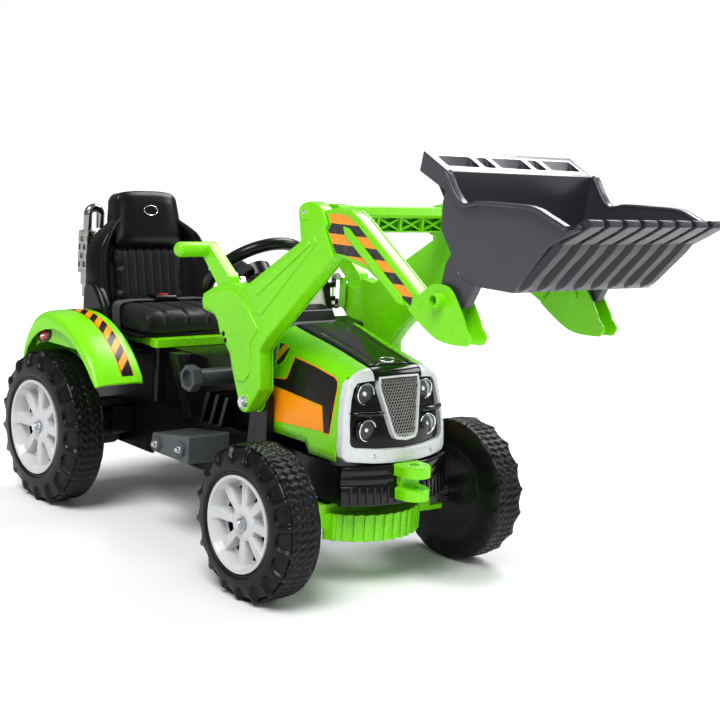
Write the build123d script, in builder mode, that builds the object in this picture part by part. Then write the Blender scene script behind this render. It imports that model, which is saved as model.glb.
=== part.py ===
"""Child's ride-on front loader tractor: chassis, seat, hood, loader arms, bucket, steering and wheels.

Frame: millimetres, +Z up, origin on the ground below the middle of the outer box, nose towards -Y,
+X is the tractor's left. Sketches on the helper planes count their lengths back from the front axle.
"""
import os
from math import cos, radians, sin

from build123d import *

os.makedirs("parts", exist_ok=True)

# ---------------------------------------------------------------- driving dimensions
width_over_tyres = 530.0
wheelbase = 652.0
front_axle_y = -126.0  # puts the middle of the outer box on the origin

front_wheel_r = 124.0
rear_wheel_r = 144.0
front_rim_r = 74.0
rear_rim_r = 86.0
wheel_outer_x = width_over_tyres / 2
wheel_inner_x = 186.0
tyre_wall = 5.0
hub_recess = 13.6
axle_r = 6.0
running_gap = 0.05  # radial clearance of every shaft in its bore
gap = 0.4  # air left between neighbours that are not fixed together

tub_half = 95.0
tunnel_half = 70.0
hood_half_top = 98.0
hood_half_bottom = 112.0
hood_rear_y = 134.0
hood_front_y = -46.0
tub_wall = 4.0

arm_inner_x = 128.0
arm_outer_x = 158.0
arm_wall = 3.0
boom_outer_x = 155.0
lift_pivot = (136.6, 282.3)
lever_pivot = (214.0, 430.0)
bucket_pivot = (-301.0, 510.0)
bolt_r = 6.0
pin_r = 5.0

bucket_half_bottom = 146.0
bucket_half_rim = 156.0
bucket_wall = 4.0
tooth_count = 8
rib_count = 8

wheel_tilt = 42.0  # lean of the steering wheel's plane from level
steering_centre = (335.0, 467.0)
steering_ring_r = 92.0
steering_tube_r = 11.0
kingpin_x = 150.0
steering_arm = 45.0

seat_rake = 10.9
seat_base_y = 667.0
seat_base_z = 345.0
seat_half = 140.0


# ---------------------------------------------------------------- helper planes and tools
def side_plane(x):
    """Upright plane at x: sketch axes are (distance behind the front axle, height)."""
    return Plane(origin=(x, front_axle_y, 0), x_dir=(0, 1, 0), z_dir=(1, 0, 0))


def level_plane(z):
    """Level plane: sketch axes are (x, distance behind the front axle)."""
    return Plane(origin=(0, front_axle_y, z))


def cross_plane(y):
    """Upright plane across the tractor: sketch axes are (x, height), extrudes forwards."""
    return Plane(origin=(0, front_axle_y + y, 0), x_dir=(1, 0, 0), z_dir=(0, -1, 0))


def save(builder, label):
    builder.part.label = label
    export_step(builder.part, f"parts/{label}.step")


def save_mirrored(builder, label):
    with BuildPart() as twin:
        mirror(builder.part, about=Plane.YZ)
    save(twin, label)


def outline(points, radius=0.0, mode=Mode.ADD):
    """Adds a closed polygon to the current sketch, its corners rounded when a radius is given."""
    with BuildSketch() as shape:
        Polygon(*points, align=None)
        if radius:
            fillet(shape.vertices(), radius)
    add(shape.sketch, mode=mode)


def rod_x(y, z, radius, x_from, x_to, mode=Mode.ADD):
    """Adds a round bar along X to the current part."""
    with BuildSketch(side_plane(x_from)) as section:
        with Locations((y, z)):
            Circle(radius)
    extrude(section.sketch, amount=x_to - x_from, mode=mode)


def block(x_range, y_range, z_range, mode=Mode.ADD, radius=0.0):
    """Adds a box to the current part, its upright edges rounded when a radius is given."""
    x_mid = (x_range[0] + x_range[1]) / 2
    y_mid = (y_range[0] + y_range[1]) / 2
    with BuildSketch(level_plane(z_range[0])) as section:
        with Locations((x_mid, y_mid)):
            Rectangle(x_range[1] - x_range[0], y_range[1] - y_range[0])
        if radius:
            fillet(section.vertices(), radius)
    extrude(section.sketch, amount=z_range[1] - z_range[0], mode=mode)


# ---------------------------------------------------------------- wheels
def make_tyre(y, radius, rim_r):
    """Moulded tyre casing, open towards the rim."""
    tread_in = 189.0
    tread_out = 254.0
    shoulder = 9.0
    bead_r = rim_r + 2.0
    with BuildPart() as tyre:
        with BuildSketch(level_plane(radius)):
            outline(
                [
                    (wheel_inner_x, y + bead_r),
                    (wheel_inner_x, y + radius - shoulder),
                    (tread_in + 4.0, y + radius),
                    (tread_out, y + radius),
                    (wheel_outer_x - 3.0, y + radius - 22.0),
                    (wheel_outer_x, y + bead_r + 8.0),
                    (wheel_outer_x, y + bead_r),
                    (wheel_outer_x - tyre_wall, y + bead_r),
                    (wheel_outer_x - tyre_wall, y + bead_r + 8.0),
                    (wheel_outer_x - tyre_wall - 3.0, y + radius - 24.0),
                    (tread_out - 3.0, y + radius - tyre_wall),
                    (tread_in + 6.0, y + radius - tyre_wall),
                    (wheel_inner_x + tyre_wall, y + radius - shoulder - 3.0),
                    (wheel_inner_x + tyre_wall, y + bead_r),
                ]
            )
        revolve(axis=Axis((0, front_axle_y + y, radius), (1, 0, 0)))
    return tyre


def make_rim(y, radius, rim_r, window_count=8):
    """Dished rim: barrel, spoked face and hub with the axle bore."""
    face_x = wheel_outer_x - hub_recess
    web = 6.0
    hub_r = 19.0
    barrel_r = rim_r + 1.9
    barrel = 5.0
    with BuildPart() as rim:
        with BuildSketch(side_plane(wheel_inner_x + 2.0)):
            with Locations((y, radius)):
                Circle(barrel_r)
                Circle(barrel_r - barrel, mode=Mode.SUBTRACT)
        extrude(amount=wheel_outer_x - wheel_inner_x - 2.0)
        rod_x(y, radius, barrel_r - barrel + 0.5, face_x - web, face_x)
        rod_x(y, radius, hub_r, wheel_inner_x + 2.0, face_x + 2.0)
        with BuildSketch(side_plane(face_x - web)):
            with Locations((y, radius)):
                with PolarLocations((hub_r + barrel_r - barrel) / 2 + 3.0, window_count):
                    Trapezoid(0.36 * rim_r, 0.34 * rim_r, 82.0, rotation=90)
        extrude(amount=web, mode=Mode.SUBTRACT)
        rod_x(y, radius, axle_r + running_gap, wheel_inner_x, wheel_outer_x, mode=Mode.SUBTRACT)
    return rim


for place, y, radius, rim_r in (
    ("front", 0.0, front_wheel_r, front_rim_r),
    ("rear", wheelbase, rear_wheel_r, rear_rim_r),
):
    tyre = make_tyre(y, radius, rim_r)
    save(tyre, f"{place}_tyre_left")
    save_mirrored(tyre, f"{place}_tyre_right")
    rim = make_rim(y, radius, rim_r)
    save(rim, f"{place}_rim_left")
    save_mirrored(rim, f"{place}_rim_right")

hub_face_x = wheel_outer_x - hub_recess + 2.0


def axle_end(y, z):
    """Washer and hex nut that hold a wheel on the +X end of its axle."""
    rod_x(y, z, 11.0, hub_face_x + gap, hub_face_x + gap + 1.6)
    with BuildSketch(side_plane(hub_face_x + gap + 1.6)) as nut:
        with Locations((y, z)):
            RegularPolygon(9.2, 6)
    extrude(nut.sketch, amount=6.5)


# rear axle: one plain steel rod with a washer and nut at each end
with BuildPart() as rear_axle:
    rod_x(wheelbase, rear_wheel_r, axle_r, 0.0, wheel_outer_x - 1.0)
    axle_end(wheelbase, rear_wheel_r)
    mirror(about=Plane.YZ)
save(rear_axle, "rear_axle")

# motor gearboxes, one beside each rear wheel, hung on the axle
with BuildPart() as gearboxes:
    with BuildSketch(side_plane(tub_half + 3.0)):
        with Locations((wheelbase, rear_wheel_r)):
            Circle(46.0)
        with Locations((wheelbase - 48.0, rear_wheel_r + 18.0)):
            RectangleRounded(70.0, 58.0, 12.0)
    extrude(amount=44.0)
    rod_x(wheelbase - 52.0, rear_wheel_r + 20.0, 19.0, tub_half + 3.0, tub_half + 84.0)
    rod_x(wheelbase, rear_wheel_r, 20.0, tub_half + 3.0, wheel_inner_x - gap)
    rod_x(wheelbase, rear_wheel_r, axle_r + running_gap, tub_half, wheel_inner_x, mode=Mode.SUBTRACT)
    mirror(about=Plane.YZ)
save(gearboxes, "gearboxes")

# ---------------------------------------------------------------- chassis tub
seat_box = (499.0, 742.0)
bumper_front_y = -88.0
axle_tunnel = (-26.0, 94.0)

with BuildPart() as chassis_tub:
    # floor-level body, tunnel between the legs and seat box
    block((-tub_half, tub_half), (-40.0, 640.0), (114.0, 208.0))
    block((-tunnel_half, tunnel_half), (170.0, 505.0), (200.0, 312.0))
    block((-tub_half, tub_half), seat_box, (108.0, 312.0), radius=10.0)
    # bowed front bumper in two steps
    for x_half, z_low, z_high, proud in ((110.0, 150.0, 182.0, 0.0), (113.0, 182.0, 213.0, 3.0)):
        with BuildSketch(level_plane(z_low)):
            with BuildLine():
                Line((-x_half, 40.0), (-x_half, -58.0 - proud))
                ThreePointArc(
                    (-x_half, -58.0 - proud),
                    (0.0, bumper_front_y - proud),
                    (x_half, -58.0 - proud),
                )
                Line((x_half, -58.0 - proud), (x_half, 40.0))
                Line((x_half, 40.0), (-x_half, 40.0))
            make_face()
        extrude(amount=z_high - z_low)
    # hollow underneath
    block((-tub_half + tub_wall, tub_half - tub_wall), (-36.0, 636.0), (100.0, 204.0), mode=Mode.SUBTRACT)
    inner_half = tunnel_half - tub_wall
    block((-inner_half, inner_half), (174.0, 505.0), (190.0, 308.0), mode=Mode.SUBTRACT)
    block((-tub_half + tub_wall, tub_half - tub_wall), (503.0, 738.0), (100.0, 308.0), mode=Mode.SUBTRACT)
    block((-104.0, 104.0), (-54.0, 30.0), (100.0, 208.0), mode=Mode.SUBTRACT)
    # opening for the steering shaft
    block((-14.0, 14.0), (84.0, 212.0), (195.0, 330.0), mode=Mode.SUBTRACT)
    # front axle passes across
    block((-120.0, 120.0), axle_tunnel, (100.0, 150.0), mode=Mode.SUBTRACT)
    # battery shelf and front axle seat
    block((-tub_half + 1.0, tub_half - 1.0), (501.0, 628.0), (156.0, 160.0))
    block((-60.0, 60.0), (-18.0, 18.0), (140.0, 209.0))
    # towers that carry the loader pivots
    for x_low in (-127.0, 113.0):
        with BuildSketch(side_plane(x_low)):
            with Locations(lift_pivot):
                Circle(22.0)
            outline([(112.0, 196.0), (166.0, 196.0), (158.6, 282.0), (114.6, 282.0)])
        extrude(amount=14.0)
    for x_low, x_high in ((-127.0, -tub_half + 1.0), (tub_half - 1.0, 127.0)):
        block((x_low, x_high), (112.0, 166.0), (186.0, 204.0))
    rod_x(*lift_pivot, bolt_r, -130.0, 130.0, mode=Mode.SUBTRACT)
    # engine fins on both flanks and the slanting leg braces
    for x_low in (-tub_half - 8.0, tunnel_half - 2.0):
        x_reach = tub_half + 8.0 - (tunnel_half - 2.0)
        for fin in range(3):
            y_foot = 276.0 + 28.0 * fin
            with BuildSketch(side_plane(x_low)):
                outline(
                    [
                        (y_foot, 204.0),
                        (y_foot + 9.0, 204.0),
                        (y_foot - 11.0, 262.0),
                        (y_foot - 20.0, 262.0),
                    ]
                )
            extrude(amount=x_reach)
        with BuildSketch(side_plane(x_low)):
            outline([(366.0, 204.0), (392.0, 204.0), (446.0, 311.0), (420.0, 311.0)])
        extrude(amount=x_reach)
    # plugs that carry the side tubes and footrests
    for x_low in (-82.0, tunnel_half - 2.0):
        rod_x(284.0, 296.0, 11.5, x_low, x_low + 14.0)
    # rear axle bore
    rod_x(wheelbase, rear_wheel_r, axle_r, -100.0, 100.0, mode=Mode.SUBTRACT)
save(chassis_tub, "chassis_tub")

# green band that closes the seat box
with BuildPart() as seat_trim:
    with BuildSketch(level_plane(312.5)):
        with Locations((0, 598.0)):
            RectangleRounded(204.0, 212.0, 12.0)
        with Locations((0, 497.0)):
            RectangleRounded(212.0, 22.0, 6.0)
    extrude(amount=15.0)
    block((-80.0, 80.0), (520.0, 690.0), (312.0, 328.0), mode=Mode.SUBTRACT, radius=12.0)
save(seat_trim, "seat_trim")

# battery with its lid and terminals, standing on the shelf
with BuildPart() as battery:
    block((-50.0, 50.0), (512.0, 618.0), (160.2, 250.0), radius=4.0)
    block((-46.0, 46.0), (516.0, 614.0), (250.0, 255.0), radius=4.0)
    for x in (-34.0, 34.0):
        block((x - 5.0, x + 5.0), (530.0, 536.0), (255.0, 266.0))
save(battery, "battery")

# ---------------------------------------------------------------- fenders
fender_inner_x = 143.0
fender_outer_x = 242.0
fender_r = 219.0
fender_wall = 4.0


def fender_profile(shrink):
    """Sketch of the region under the arch: round over the wheel, then falling faster behind it."""
    r = fender_r - shrink
    front_angle = radians(149.0)
    top_angle = radians(84.0)
    middle_angle = (front_angle + top_angle) / 2
    front = (wheelbase + r * cos(front_angle), rear_wheel_r + r * sin(front_angle))
    middle = (wheelbase + r * cos(middle_angle), rear_wheel_r + r * sin(middle_angle))
    top = (wheelbase + r * cos(top_angle), rear_wheel_r + r * sin(top_angle))
    rear = (750.0 - shrink, 256.0)
    with BuildSketch() as profile:
        with BuildLine():
            ThreePointArc(front, middle, top)
            Spline(top, (722.0 - shrink * 0.7, 326.0 - shrink * 0.7), rear, tangents=[(1, -0.1), (0.35, -1)])
            Line(rear, front)
        make_face()
    return profile.sketch


with BuildPart() as fender:
    with BuildSketch(side_plane(fender_inner_x)):
        add(fender_profile(0.0))
    extrude(amount=fender_outer_x - fender_inner_x)
    outer_edges = fender.faces().sort_by(Axis.X)[-1].edges().filter_by(GeomType.LINE, reverse=True)
    fillet(outer_edges, 16.0)
    with BuildSketch(side_plane(fender_inner_x + fender_wall)):
        add(fender_profile(fender_wall))
    extrude(amount=fender_outer_x - fender_inner_x - 2 * fender_wall, mode=Mode.SUBTRACT)
    block((80.0, 250.0), (400.0, 800.0), (200.0, 257.0), mode=Mode.SUBTRACT)
    # wheel arch in the outer wall
    with BuildSketch(side_plane(fender_outer_x - fender_wall - 1.0)):
        with BuildLine():
            ThreePointArc((474.0, 250.0), (524.0, 308.0), (597.0, 337.0))
            ThreePointArc((597.0, 337.0), (689.0, 323.0), (744.0, 262.0))
            Polyline((744.0, 262.0), (744.0, 240.0), (474.0, 240.0), (474.0, 250.0))
        make_face()
    extrude(amount=fender_wall + 8.0, mode=Mode.SUBTRACT)
    # recessed web that carries the tail lamp
    with BuildSketch(side_plane(fender_outer_x - 16.0)):
        add(fender_profile(2.0))
        outline(
            [(440.0, 200.0), (440.0, 304.0), (692.0, 302.0), (718.0, 282.0), (760.0, 268.0), (760.0, 200.0)],
            mode=Mode.SUBTRACT,
        )
    extrude(amount=4.0)
    # level shelf that joins the fender to the seat box
    block((tub_half + 0.2, fender_inner_x + 2.0), (520.0, 730.0), (296.0, 304.0))
    # lamp seat
    rod_x(680.0, 313.0, 9.0, fender_outer_x - 20.0, fender_outer_x - 10.0, mode=Mode.SUBTRACT)
save(fender, "fender_left")
save_mirrored(fender, "fender_right")

with BuildPart() as tail_lamps:
    with BuildSketch(side_plane(fender_outer_x - 11.8)):
        with Locations((680.0, 313.0)):
            Ellipse(20.0, 9.5, rotation=-18)
    extrude(amount=5.0)
    rod_x(680.0, 313.0, 8.8, fender_outer_x - 22.0, fender_outer_x - 11.0)
    mirror(about=Plane.YZ)
save(tail_lamps, "tail_lamps")

# upright panel between the fenders behind the seat
with BuildPart() as rear_panel:
    with BuildSketch(cross_plane(750.0)):
        outline(
            [
                (-112.0, 262.0),
                (112.0, 262.0),
                (112.0, 330.0),
                (94.0, 402.0),
                (-94.0, 402.0),
                (-112.0, 330.0),
            ],
            8.0,
        )
    extrude(amount=7.6)
save(rear_panel, "rear_panel")

# ---------------------------------------------------------------- exhaust stack, right-hand side only
exhaust_x = -92.0
exhaust_y = 772.0
hook_width = 28.0
with BuildPart() as exhaust_shield:
    with BuildSketch(level_plane(424.0)):
        with Locations((exhaust_x, exhaust_y)):
            Circle(17.0)
            Circle(14.5, mode=Mode.SUBTRACT)
    extrude(amount=74.0)
    for row in range(4):
        with BuildSketch(level_plane(432.0 + 17.0 * row)):
            with Locations((exhaust_x, exhaust_y)):
                with PolarLocations(15.5, 8, start_angle=22.5 * (row % 2)):
                    Rectangle(8.0, 6.5)
        extrude(amount=10.0, mode=Mode.SUBTRACT)
save(exhaust_shield, "exhaust_shield")

with BuildPart() as exhaust_stack:
    with BuildSketch(level_plane(396.0)):
        with Locations((exhaust_x, exhaust_y)):
            Circle(11.0)
    extrude(amount=108.0)
    for z_collar in (420.0, 498.2):
        with BuildSketch(level_plane(z_collar)):
            with Locations((exhaust_x, exhaust_y)):
                Circle(17.0)
        extrude(amount=3.6)
    block((exhaust_x - 8.0, exhaust_x + 8.0), (750.2, exhaust_y), (372.0, 400.0))
    with BuildLine():
        Line((exhaust_x, front_axle_y + exhaust_y, 500.0), (exhaust_x, front_axle_y + exhaust_y, 534.0))
        ThreePointArc(
            (exhaust_x, front_axle_y + exhaust_y, 534.0),
            (exhaust_x + hook_width / 2, front_axle_y + exhaust_y, 534.0 + hook_width / 2),
            (exhaust_x + hook_width, front_axle_y + exhaust_y, 534.0),
        )
        Line(
            (exhaust_x + hook_width, front_axle_y + exhaust_y, 534.0),
            (exhaust_x + hook_width, front_axle_y + exhaust_y, 508.0),
        )
    with BuildSketch(level_plane(500.0)):
        with Locations((exhaust_x, exhaust_y)):
            Circle(8.5)
    sweep()
save(exhaust_stack, "exhaust_stack")

# ---------------------------------------------------------------- seat
seat_plane = Plane(
    origin=(0, front_axle_y + seat_base_y, seat_base_z),
    x_dir=(1, 0, 0),
    z_dir=(0, -cos(radians(seat_rake)), sin(radians(seat_rake))),
)  # front face of the backrest: sketch axes are (x, distance up the back)
back_outline = [
    (-118.0, -14.0),
    (-132.0, 40.0),
    (-132.0, 92.0),
    (-112.0, 146.0),
    (-76.0, 176.0),
    (-73.0, 192.0),
    (-66.0, 246.0),
    (66.0, 246.0),
    (73.0, 192.0),
    (76.0, 176.0),
    (112.0, 146.0),
    (132.0, 92.0),
    (132.0, 40.0),
    (118.0, -14.0),
]
with BuildPart() as seat_shell:
    # backrest shell with side wings, its front hollowed for the pad
    with BuildSketch(seat_plane):
        outline(back_outline, 9.0)
    extrude(amount=-40.0)
    with BuildSketch(seat_plane):
        outline(
            [
                (-100.0, 34.0),
                (-100.0, 112.0),
                (-66.0, 170.0),
                (66.0, 170.0),
                (100.0, 112.0),
                (100.0, 34.0),
            ],
            9.0,
        )
    extrude(amount=-14.0, mode=Mode.SUBTRACT)
    # seat base with raised sides
    with BuildSketch(side_plane(-seat_half)):
        outline(
            [
                (500.0, 328.0),
                (700.0, 328.0),
                (700.0, 376.0),
                (660.0, 384.0),
                (560.0, 362.0),
                (506.0, 352.0),
            ],
            4.0,
        )
    extrude(amount=2 * seat_half)
    with BuildSketch(side_plane(-112.0)):
        outline([(490.0, 336.0), (672.0, 336.0), (672.0, 400.0), (490.0, 400.0)])
    extrude(amount=224.0, mode=Mode.SUBTRACT)
    block((-seat_half, seat_half), (640.0, 760.0), (300.0, 328.0), mode=Mode.SUBTRACT)
save(seat_shell, "seat_shell")

cushion_side = [
    (503.0, 336.5),
    (654.0, 336.5),
    (656.0, 371.0),
    (600.0, 378.0),
    (524.0, 377.0),
    (502.0, 364.0),
]
with BuildPart() as seat_cushion:
    with BuildSketch(side_plane(-109.0)):
        outline(cushion_side, 6.0)
    extrude(amount=218.0)
save(seat_cushion, "seat_cushion")

with BuildPart() as backrest_pad:
    with BuildSketch(seat_plane.offset(-13.6)):
        outline(
            [
                (-98.0, 45.0),
                (-98.0, 110.0),
                (-65.0, 167.0),
                (65.0, 167.0),
                (98.0, 110.0),
                (98.0, 45.0),
            ],
            9.0,
        )
    extrude(amount=17.0)
save(backrest_pad, "backrest_pad")

# lap belt: two flat straps lying over the cushion, and the buckle between them
with BuildPart() as lap_belt:
    for side in (-1, 1):
        block(sorted((side * 118.0, side * 136.0)), (640.0, 644.0), (384.4, 388.0))
        with BuildSketch(cross_plane(646.0)):
            outline(
                [
                    (side * 24.0, 381.0),
                    (side * 99.0, 381.0),
                    (side * 111.0, 387.0),
                    (side * 136.0, 387.0),
                    (side * 136.0, 389.0),
                    (side * 110.0, 389.0),
                    (side * 98.0, 383.0),
                    (side * 24.0, 383.0),
                ]
            )
        extrude(amount=26.0)
save(lap_belt, "lap_belt")

with BuildPart() as belt_buckle:
    block((-23.6, 23.6), (616.0, 650.0), (379.0, 390.0), radius=4.0)
    block((-12.0, 12.0), (622.0, 644.0), (390.0, 392.0), radius=3.0)
save(belt_buckle, "belt_buckle")

# ---------------------------------------------------------------- hood and nose
hood_sections = ((hood_rear_y, 112.0, 98.0, 392.0, 407.0), (hood_front_y, 112.0, 95.0, 346.0, 364.0))


def hood_section(half_low, half_high, shoulder_z, crown_z, low_z, inset):
    """Sketch across the hood: flared sides, round shoulders, crowned top."""
    with BuildSketch() as section:
        with BuildLine():
            Line((-half_low + inset, low_z), (-half_high + inset, shoulder_z - 14.0))
            Spline(
                (-half_high + inset, shoulder_z - 14.0),
                (-half_high + 12.0, shoulder_z - inset),
                (0.0, crown_z - inset),
                (half_high - 12.0, shoulder_z - inset),
                (half_high - inset, shoulder_z - 14.0),
            )
            Line((half_high - inset, shoulder_z - 14.0), (half_low - inset, low_z))
            Line((half_low - inset, low_z), (-half_low + inset, low_z))
        make_face()
    return section.sketch


def hood_solid(inset, low_z):
    """Lofted body of the hood, drawn in by the inset."""
    with BuildPart() as body:
        for y, half_low, half_high, shoulder_z, crown_z in hood_sections:
            with BuildSketch(cross_plane(y)):
                add(hood_section(half_low, half_high, shoulder_z, crown_z, low_z, inset))
        loft()
    return body.part


hood_outer = hood_solid(0.0, 213.4)
hood_inner = hood_solid(3.0, 190.0)

with BuildPart() as hood:
    add(hood_outer)
    block((-120.0, 120.0), (24.0, 140.0), (200.0, 232.0), mode=Mode.SUBTRACT)
    add(hood_inner, mode=Mode.SUBTRACT)
save(hood, "hood")

# glossy centre strip over the hood, narrowing towards the nose
with BuildPart() as hood_strip:
    with BuildSketch(level_plane(300.0)):
        outline([(-66.0, 133.0), (66.0, 133.0), (37.0, -46.0), (-37.0, -46.0)], 4.0)
    extrude(amount=130.0)
    add(hood_solid(-3.0, 190.0), mode=Mode.INTERSECT)
    add(hood_solid(-0.2, 180.0), mode=Mode.SUBTRACT)
save(hood_strip, "hood_strip")

# nose volume between hood and grille, bowed in plan and leaning forwards at the bottom
nose_top = 346.0
nose_levels = (
    (214.0, 113.0, 90.0, -62.0),
    (262.0, 112.0, 84.0, -58.0),
    (346.0, 99.0, 62.0, -46.6),
)


def nose_solid(inset, rear_y=-30.0):
    """Bowed nose, its front, sides and top drawn in by the inset."""
    with BuildPart() as body:
        for z, x_half, front, corner in nose_levels:
            half = x_half - inset
            with BuildSketch(level_plane(min(z, nose_top - inset))):
                with BuildLine():
                    ThreePointArc((-half, corner + inset), (0.0, inset - front), (half, corner + inset))
                    Polyline((half, corner + inset), (half, rear_y), (-half, rear_y), (-half, corner + inset))
                make_face()
        loft(ruled=True)
    return body.part


nose_outer = nose_solid(0.0, hood_front_y - 0.2)
nose_inner = nose_solid(5.0)
nose_deep = nose_solid(12.0)
lamp_centres = ((63.3, 323.5), (65.5, 267.0))
grille_outline = [(-33.0, 344.0), (33.0, 344.0), (35.0, 330.0), (18.0, 266.0), (-18.0, 266.0), (-35.0, 330.0)]
lamp_window = [(42.0, 338.0), (92.0, 338.0), (102.0, 326.0), (104.0, 241.0), (30.0, 236.0), (26.0, 256.0)]

with BuildPart() as fascia:
    add(nose_outer)
    add(nose_inner, mode=Mode.SUBTRACT)
    for flip in (-1, 1):
        with BuildSketch(cross_plane(0.0)):
            outline([(flip * x, z) for x, z in lamp_window], 4.0)
            for x, z in lamp_centres:
                with Locations((flip * x, z)):
                    Circle(19.0)
        extrude(amount=110.0, mode=Mode.SUBTRACT)
    with BuildSketch(cross_plane(0.0)):
        outline(grille_outline, 4.0)
    extrude(amount=110.0, mode=Mode.SUBTRACT)
save(fascia, "fascia")

# black plate behind the fascia with lamp bores, and the two level bars across the lamps
with BuildPart() as headlamp_bezels:
    add(nose_solid(5.2))
    add(nose_deep, mode=Mode.SUBTRACT)
    block((-120.0, 120.0), (hood_front_y - 0.4, 0.0), (200.0, 360.0), mode=Mode.SUBTRACT)
    for flip in (-1, 1):
        for x, z in lamp_centres:
            with BuildSketch(cross_plane(0.0)):
                with Locations((flip * x, z)):
                    Circle(18.65)
            extrude(amount=110.0, mode=Mode.SUBTRACT)
    with BuildSketch(cross_plane(0.0)):
        Polygon(*grille_outline, align=None)
    extrude(amount=110.0, mode=Mode.SUBTRACT)
    for flip in (-1, 1):
        with BuildSketch(level_plane(293.0)):
            outline(
                [
                    (flip * 36.0, -58.0),
                    (flip * 98.0, -46.6),
                    (flip * 98.0, -58.0),
                    (flip * 40.0, -74.0),
                ],
                1.0,
            )
        extrude(amount=7.0)
save(headlamp_bezels, "headlamp_bezels")

# headlamps: reflector cup and domed lens in one sealed unit
with BuildPart() as headlamps:
    for x, z, y_face in ((63.3, 323.5, -45.0), (65.5, 267.0, -57.0)):
        for flip in (-1, 1):
            with BuildSketch(cross_plane(y_face + 12.0)) as back:
                with Locations((flip * x, z)):
                    Circle(12.0)
            extrude(back.sketch, amount=8.0)
            with BuildSketch(cross_plane(y_face + 4.0)) as cup:
                with Locations((flip * x, z)):
                    Circle(18.6)
            extrude(cup.sketch, amount=8.0)
            with BuildSketch(cross_plane(y_face - 4.0)) as lens:
                with Locations((flip * x, z)):
                    Circle(15.0)
            extrude(lens.sketch, amount=3.5, taper=30)
save(headlamps, "headlamps")

# perforated grille plate
with BuildPart() as grille:
    add(nose_solid(1.5))
    add(nose_solid(5.5), mode=Mode.SUBTRACT)
    with BuildSketch(cross_plane(0.0)):
        Polygon(*[(x * 0.96, 305.0 + (z - 305.0) * 0.97) for x, z in grille_outline], align=None)
    extrude(amount=110.0, mode=Mode.INTERSECT)
    with BuildSketch(cross_plane(0.0)):
        for row in range(9):
            z_row = 272.0 + 8.2 * row
            half_width = 17.0 + (min(z_row, 328.0) - 266.0) * 0.26
            count = int(half_width / 4.1) * 2 - 1 + (row % 2)
            with Locations((0, z_row)):
                with GridLocations(7.4, 8.0, count // 2 + 1, 1):
                    RegularPolygon(2.7, 6)
    extrude(amount=110.0, mode=Mode.SUBTRACT)
save(grille, "grille")

# plain oval badges on the nose and the headrest
with BuildPart() as badges:
    badge_plane = Plane(origin=(0, front_axle_y - 30.0, 371.2), x_dir=(1, 0, 0), z_dir=(0, -0.24, 0.97))
    with BuildSketch(badge_plane):
        Ellipse(16.0, 9.0)
    extrude(amount=3.0)
    with BuildSketch(seat_plane.offset(0.1)):
        with Locations((0, 204.0)):
            Ellipse(21.0, 16.5)
    extrude(amount=3.0)
save(badges, "badges")

# ---------------------------------------------------------------- dash, windscreen and mirrors
post_foot = (216.0, 392.0)
post_head = (238.0, 474.0)


def binnacle(clearance):
    """Raised instrument hump of the dash, grown all round by the clearance."""
    with BuildPart() as hump:
        with BuildSketch(side_plane(-46.0 - clearance)):
            outline([(150.0, 398.0), (168.0, 424.0), (200.0, 430.0), (246.0, 404.0), (246.0, 380.0)], 4.0)
            if clearance:
                offset(amount=clearance)
        extrude(amount=92.0 + 2 * clearance)
    return hump.part


with BuildPart() as dash_cowl:
    with BuildSketch(side_plane(-90.0)):
        outline(
            [(134.6, 330.0), (134.6, 404.0), (180.0, 410.0), (236.0, 398.0), (240.0, 360.0), (205.0, 330.0)],
            4.0,
        )
    extrude(amount=180.0)
    add(binnacle(0.0))
    block((-62.0, 62.0), (140.0, 200.0), (312.2, 340.0))
    # hollow, open below, around the shaft
    with BuildSketch(side_plane(-40.0)):
        outline(
            [
                (144.0, 300.0),
                (144.0, 392.0),
                (180.0, 402.0),
                (190.0, 402.0),
                (196.0, 330.0),
                (196.0, 300.0),
            ]
        )
    extrude(amount=80.0, mode=Mode.SUBTRACT)
    # bore for the steering shaft
    shaft_plane = Plane(
        origin=(0, front_axle_y + steering_centre[0], steering_centre[1]),
        x_dir=(1, 0, 0),
        z_dir=(0, sin(radians(wheel_tilt)), cos(radians(wheel_tilt))),
    )
    with BuildSketch(shaft_plane):
        Circle(axle_r + running_gap)
    extrude(amount=-300.0, mode=Mode.SUBTRACT)
    # button seats on the rider's side
    with BuildSketch(cross_plane(242.0)):
        with Locations((-62.0, 380.0)):
            Circle(9.4)
        with Locations((62.0, 380.0)):
            Rectangle(16.8, 24.8)
    extrude(amount=16.0, mode=Mode.SUBTRACT)
save(dash_cowl, "dash_cowl")

mirror_hinge = (92.0, 230.5)
mirror_pin_r = 2.5
with BuildPart() as windscreen_frame:
    frame_up = Vector(0, post_head[0] - post_foot[0], post_head[1] - post_foot[1]).normalized()
    frame_plane = Plane(
        origin=(0, front_axle_y + post_foot[0], post_foot[1]),
        x_dir=(1, 0, 0),
        z_dir=(0, -frame_up.Z, frame_up.Y),
    )
    with BuildSketch(frame_plane):
        outline([(-89.0, 6.0), (89.0, 6.0), (84.0, 86.0), (-84.0, 86.0)], 5.0)
        outline([(-77.0, 22.0), (77.0, 22.0), (73.0, 78.0), (-73.0, 78.0)], 4.0, mode=Mode.SUBTRACT)
    extrude(amount=5.0, both=True)
    block((-95.0, 95.0), (180.0, 260.0), (380.0, 403.8), mode=Mode.SUBTRACT)
    add(binnacle(gap), mode=Mode.SUBTRACT)
    # ears and upright pins for the folding mirrors
    for flip in (-1, 1):
        ear_x = sorted((flip * 80.0, flip * (mirror_hinge[0] + 4.5)))
        for z_low, z_high in ((430.0, 437.6), (454.4, 462.0)):
            block(ear_x, (mirror_hinge[1] - 4.5, mirror_hinge[1] + 4.5), (z_low, z_high))
        with BuildSketch(level_plane(432.0)):
            with Locations((flip * mirror_hinge[0], mirror_hinge[1])):
                Circle(mirror_pin_r)
        extrude(amount=28.0)
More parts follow.
